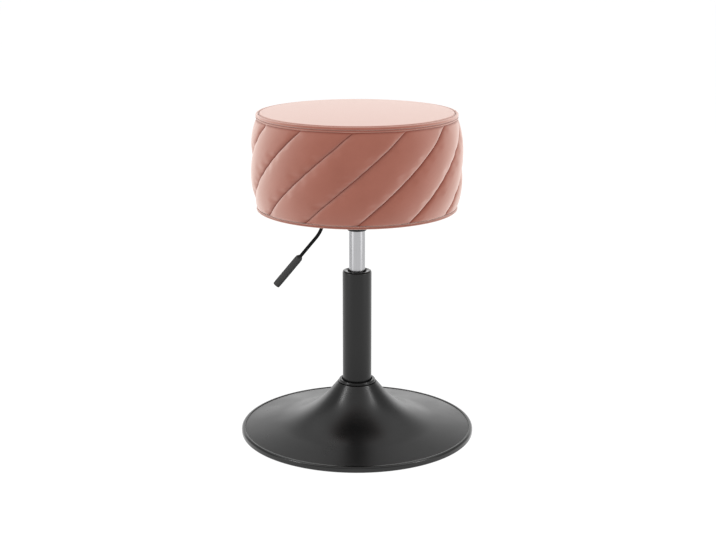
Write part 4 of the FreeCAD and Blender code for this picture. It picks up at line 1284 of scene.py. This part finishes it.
@dataclass
class GasLift(Assembly):
    """Column, guide bush and the chromed cylinder with what it holds.

    Sizes are in millimetres.
    """

    column_radius: float = 25.0
    column_bore: float = 23.5
    column_foot: float = 6.0
    column_top: float = 286.0
    bush_bore: float = 14.06
    bush_foot: float = 215.0
    lip_top: float = 288.8
    wiper_bore: float = 15.66
    wiper_foot: float = 283.2
    cylinder_radius: float = 14.0
    cylinder_bore: float = 12.6
    cylinder_foot: float = 101.5
    taper_start: float = 352.0
    taper_end: float = 13.15
    cylinder_top: float = 385.0
    end_wall: float = 2.0
    valve_bore: float = 3.08

    def build(self) -> None:
        """Build the turned pieces and dress the rest."""
        self.turn("column_skin", Body.BASE, Slot.SATIN_BLACK, "column_tube", 160, [
            (self.column_bore, self.column_foot, 0.0),
            (self.column_radius, self.column_foot, 0.3),
            (self.column_radius, self.column_top, 0.3),
            (self.column_bore, self.column_top, 0.0),
        ])
        self.build_bush()
        self.build_cylinder()
        self.dress(Slot.BEARING, "piston_rod", "piston_nut", "release_pin")
        self.dress(Slot.ZINC, "rod_clip", "foot_washer", "buffer_washer", "pressure_tube", "valve_body")
        self.dress(Slot.RUBBER, "rubber_buffer", "rod_seal", "piston_seal")
        self.dress(Slot.ACETAL, "piston", "rod_guide")

    def build_bush(self) -> None:
        """Make the guide bush: a sleeve in the column under a domed lip with a wiper recess."""
        self.turn("bush_cap", Body.BASE, Slot.GLOSS_BLACK, "guide_bush", 160, [
            (self.bush_bore, self.bush_foot, 0.0),
            (self.column_bore - 1, self.bush_foot, 0.0),
            (self.column_bore, self.bush_foot + 1, 0.0),
            (self.column_bore, self.column_top, 0.0),
            (self.column_radius, self.column_top, 0.2),
            (self.column_radius - 0.1, self.lip_top, 2.4),
            (20.5, self.lip_top + 1.1, 9.0),
            (self.wiper_bore + 0.4, self.lip_top - 0.4, 1.6),
            (self.wiper_bore, self.wiper_foot + 1, 0.3),
            (self.bush_bore, self.wiper_foot, 0.0),
        ])

    def build_cylinder(self) -> None:
        """Make the cylinder: a straight tube that tapers to a closed top with the valve's hole."""
        self.turn("chromed_cylinder", Body.SEAT, Slot.CHROME, "lift_cylinder", 160, [
            (self.cylinder_bore, self.cylinder_foot, 0.0),
            (self.cylinder_radius - 0.8, self.cylinder_foot, 0.0),
            (self.cylinder_radius, self.cylinder_foot + 0.8, 0.3),
            (self.cylinder_radius, self.taper_start, 0.0),
            (self.taper_end, self.cylinder_top - 0.8, 0.2),
            (self.taper_end - 0.8, self.cylinder_top, 0.2),
            (self.valve_bore, self.cylinder_top, 0.0),
            (self.valve_bore, self.cylinder_top - self.end_wall, 0.0),
            (10.95, self.cylinder_top - self.end_wall, 0.0),
            (self.cylinder_bore, self.taper_start - 4, 0.0),
        ])


# Lever


@dataclass
class Lever(Assembly):
    """The bent release lever and its moulded grip.

    Sizes are in millimetres, slopes in degrees.
    """

    rod_radius: float = 3.0
    rod_columns: int = 40
    inner_end: float = 8.0
    level: float = 394.0
    first_bend: float = -38.0
    first_radius: float = 15.0
    first_slope: float = 68.0
    second_radius: float = 60.0
    second_slope: float = 50.5
    grip_start: Spot = (-97.0, 314.0)
    grip_length: float = 67.0
    grip_radius: float = 6.25
    grip_end_wall: float = 6.0
    grip_mouth: float = 4.0
    grip_columns: int = 120
    pips_round: int = 12
    pips_from: float = 8.0
    pips_short_of_end: float = 4.0
    pip_pitch: float = 2.9
    pip_radius: float = 1.15
    pip_height: float = 0.45
    pip_step: float = 0.36

    def build(self) -> None:
        """Build the rod and the grip, and dress the sleeve."""
        slope = math.radians(self.second_slope)
        way = (-math.cos(slope), -math.sin(slope))
        self.build_rod(way)
        self.build_grip(way)
        self.dress(Slot.ACETAL, "pivot_sleeve")

    def build_rod(self, way: Spot) -> None:
        """Make the rod: level from the pivot, down at the first bend, and out at the second.

        Args:
            way: direction of its last run, as x and z.
        """
        reach = self.first_radius * math.tan(math.radians(self.first_slope) / 2)
        first = (self.first_bend - reach, self.level)
        second = meeting_point(first, 180 + self.first_slope, self.grip_start, 180 + self.second_slope)
        inside = self.grip_length - self.grip_end_wall
        end = (self.grip_start[0] + way[0] * inside, self.grip_start[1] + way[1] * inside)
        path = rounded_line([
            (self.inner_end, self.level, 0.0),
            (*first, self.first_radius),
            (*second, self.second_radius),
            (*end, 0.0),
        ], closed=False, arc_step=3.0)
        points = swept_grid(path, self.rod_radius, self.rod_columns)
        piece = make_piece("lever_bar", points, self.finishes.lever_coat, close_rows=False)
        self.place(piece, Body.LEVER, Slot.SATIN_BLACK, "lever_rod")

    def build_grip(self, way: Spot) -> None:
        """Make the grip: its half section turned about the rod's last run.

        A section point (r, s) goes to start + s way + r (cos a n + sin a Y), where n is square
        to the way in the plane Y = 0. The pips raise r by their height.

        Args:
            way: direction of the rod's last run, as x and z.
        """
        foot = self.grip_length - self.grip_end_wall
        section = self.even_steps(rounded_line([
            (self.rod_radius, 0.0, 0.0),
            (self.grip_mouth, 0.0, 0.4),
            (self.grip_radius, 3.6, 4.0),
            (self.grip_radius, self.grip_length, 1.2),
            (0.0, self.grip_length, 0.0),
            (0.0, foot, 0.0),
            (self.rod_radius, foot, 0.0),
        ]))
        turned = turned_grid(section, self.grip_columns)
        turned[..., :2] *= 1 + self.pips(section)[..., None] / np.maximum(section[:, 0], 1.0)[:, None, None]
        normal = (way[1], -way[0])
        points = np.stack([
            self.grip_start[0] + turned[..., 2] * way[0] + turned[..., 0] * normal[0],
            turned[..., 1],
            self.grip_start[1] + turned[..., 2] * way[1] + turned[..., 0] * normal[1],
        ], axis=-1)
        piece = make_piece("moulded_grip", points, self.finishes.of(Slot.GRIP))
        self.place(piece, Body.LEVER, Slot.GRIP, "lever_grip")

    def even_steps(self, section: Array) -> Array:
        """Cut the grip's long side into short steps, so that the pips can stand on it.

        Args:
            section: (radius, distance along the grip) points.

        Returns:
            The same line with evenly spaced points on its longest run.
        """
        long_side = int(np.argmax(np.linalg.norm(np.diff(section, axis=0), axis=1)))
        start, finish = section[long_side], section[long_side + 1]
        steps = round(float(np.linalg.norm(finish - start)) / self.pip_step)
        share = np.linspace(0, 1, steps + 1)[1:-1, None]
        between = start + share * (finish - start)
        return np.concatenate([section[:long_side + 1], between, section[long_side + 1:]])

    def pips(self, section: Array) -> Array:
        """Height of the moulded pips: pip_height (1 - (d / pip_radius)^2), d from the nearest middle.

        The pips stand in staggered rows on the grip's outer side, clear of both ends.

        Args:
            section: (radius, distance along the grip) points.

        Returns:
            Millimetres for each point of the grip, section by angle.
        """
        radius, distance_along = section[:, 0], section[:, 1]
        around = np.arange(self.grip_columns) / self.grip_columns * self.pips_round
        along = distance_along / self.pip_pitch
        row = np.round(along)
        turn = around[None, :] + 0.5 * (row % 2)[:, None]
        pitch_round = FULL_TURN * self.grip_radius / self.pips_round
        aside = (turn - np.round(turn)) * pitch_round
        distance = np.hypot(aside, ((along - row) * self.pip_pitch)[:, None])
        height = self.pip_height * np.clip(1 - (distance / self.pip_radius) ** 2, 0, 1)
        pips_to = self.grip_length - self.pips_short_of_end
        clear = (distance_along > self.pips_from) & (distance_along < pips_to)
        outside = radius > self.grip_radius - 0.01
        return height * (outside & clear)[:, None]


# Studio


@dataclass(frozen=True)
class SoftBox:
    """A soft box lamp that faces the stool: its place and size in metres, its power in watts."""

    name: str
    place: tuple[float, float, float]
    size: Spot
    power: float


@dataclass
class Studio:
    """Camera, pale floor and soft light, as the photograph has them.

    The surround is white at and under the horizon and greyer above it, as in a room with a
    lit white sweep under a darker ceiling. Sizes are in metres and angles in radians.
    """

    camera_place: tuple[float, float, float] = (0.0, -2.30446, 0.88805)
    camera_pitch: float = 0.2541
    camera_roll: float = -0.0007
    lens: float = 69.65
    horizon_light: float = 1.0
    upper_light: float = 0.5
    fade_from: float = 0.05
    fade_to: float = 0.36
    floor_shade: str = "707070"
    floor_glow: float = 0.92
    floor_size: float = 40.0
    floor_level: float = -0.0002
    aim: tuple[float, float, float] = (0.0, 0.0, 0.4)
    boxes: tuple[SoftBox, ...] = (
        SoftBox("overhead_box", (0.0, 0.0, 2.3), (4.2, 4.2), 35.0),
        SoftBox("left_strip", (-0.86, -0.42, 0.7), (0.5, 1.4), 1.7),
        SoftBox("left_strip_spark", (-1.37, -0.37, 1.5), (0.3, 0.3), 3.4),
        SoftBox("right_strip", (0.86, -0.42, 0.7), (0.5, 1.4), 1.7),
        SoftBox("right_strip_spark", (1.37, -0.37, 1.5), (0.3, 0.3), 3.4),
        SoftBox("backdrop_glow", (0.0, 3.2, 0.8), (5.0, 1.6), 18.0),
    )

    def build(self) -> None:
        """Set up the camera, the surround, the floor and the lamps."""
        bpy.context.scene.view_settings.view_transform = "Standard"
        self.add_camera()
        self.add_surround()
        self.add_floor()
        for box in self.boxes:
            self.add_lamp(box)

    def add_camera(self) -> None:
        """Place the camera."""
        data = bpy.data.cameras.new("camera")
        data.lens = self.lens
        data.sensor_width = 36.0
        camera = bpy.data.objects.new("camera", data)
        camera.location = self.camera_place
        camera.rotation_euler = (math.pi / 2 - self.camera_pitch, 0.0, self.camera_roll)
        bpy.context.scene.collection.objects.link(camera)
        bpy.context.scene.camera = camera

    def add_surround(self) -> None:
        """Light everything softly, fading from the horizon's white to the upper grey."""
        world = bpy.data.worlds.new("white_surround")
        world.use_nodes = True
        tree = world.node_tree
        tree.nodes.clear()
        direction = add_node(tree, "ShaderNodeTexCoord").outputs["Generated"]
        height = add_node(tree, "ShaderNodeSeparateXYZ", {0: direction}).outputs["Z"]
        strength = add_node(tree, "ShaderNodeMapRange", {
            "Value": height, "From Min": self.fade_from, "From Max": self.fade_to,
            "To Min": self.horizon_light, "To Max": self.upper_light,
        }, interpolation_type="SMOOTHSTEP")
        back = add_node(tree, "ShaderNodeBackground", {
            "Color": WHITE, "Strength": strength.outputs[0],
        })
        add_node(tree, "ShaderNodeOutputWorld", {"Surface": back.outputs[0]})
        bpy.context.scene.world = world

    def add_floor(self) -> None:
        """Lay the white paper floor.

        It glows, so that only the deepest shade shows on it, and it is clear from below, so
        that the underside can be looked at.
        """
        material = bpy.data.materials.new("white_paper_sweep")
        material.use_nodes = True
        tree = material.node_tree
        tree.nodes.clear()
        paper = add_node(tree, "ShaderNodeBsdfPrincipled", {
            "Base Color": linear(self.floor_shade), "Roughness": 0.9, "Specular IOR Level": 0.0,
            "Emission Color": WHITE, "Emission Strength": self.floor_glow,
        })
        clear = add_node(tree, "ShaderNodeBsdfTransparent")
        below = add_node(tree, "ShaderNodeNewGeometry").outputs["Backfacing"]
        one_sided = add_node(tree, "ShaderNodeMixShader", {
            0: below, 1: paper.outputs[0], 2: clear.outputs[0],
        })
        add_node(tree, "ShaderNodeOutputMaterial", {"Surface": one_sided.outputs[0]})
        half = self.floor_size / 2
        outline = ((-half, -half), (half, -half), (half, half), (-half, half))
        corners = [(*spot, self.floor_level) for spot in outline]
        mesh = bpy.data.meshes.new("floor")
        mesh.from_pydata(corners, [], [(0, 1, 2, 3)])
        mesh.materials.append(material)
        floor = bpy.data.objects.new("floor", mesh)
        bpy.context.scene.collection.objects.link(floor)

    def add_lamp(self, box: SoftBox) -> None:
        """Hang a soft box and turn it to the middle of the stool.

        Args:
            box: the lamp.
        """
        data = bpy.data.lights.new(box.name, "AREA")
        data.shape = "RECTANGLE"
        data.size, data.size_y = box.size
        data.energy = box.power
        lamp = bpy.data.objects.new(box.name, data)
        lamp.location = box.place
        right, ahead, up = np.array(self.aim) - np.array(box.place)
        level = math.hypot(right, ahead)
        heading = math.atan2(-right, ahead) if level else 0.0
        lamp.rotation_euler = (math.atan2(level, -up), 0.0, heading)
        bpy.context.scene.collection.objects.link(lamp)


def main() -> None:
    """Build the stool's pieces in order, then the studio round it."""
    logging.basicConfig(level=logging.INFO, format="%(message)s")
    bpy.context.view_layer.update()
    finishes = Finishes()
    for group in (TrumpetBase, GasLift, Lever, Underside, ChannelledBand, SeatCover):
        group(finishes).build()
    Studio().build()


if __name__ == "__main__":
    main()
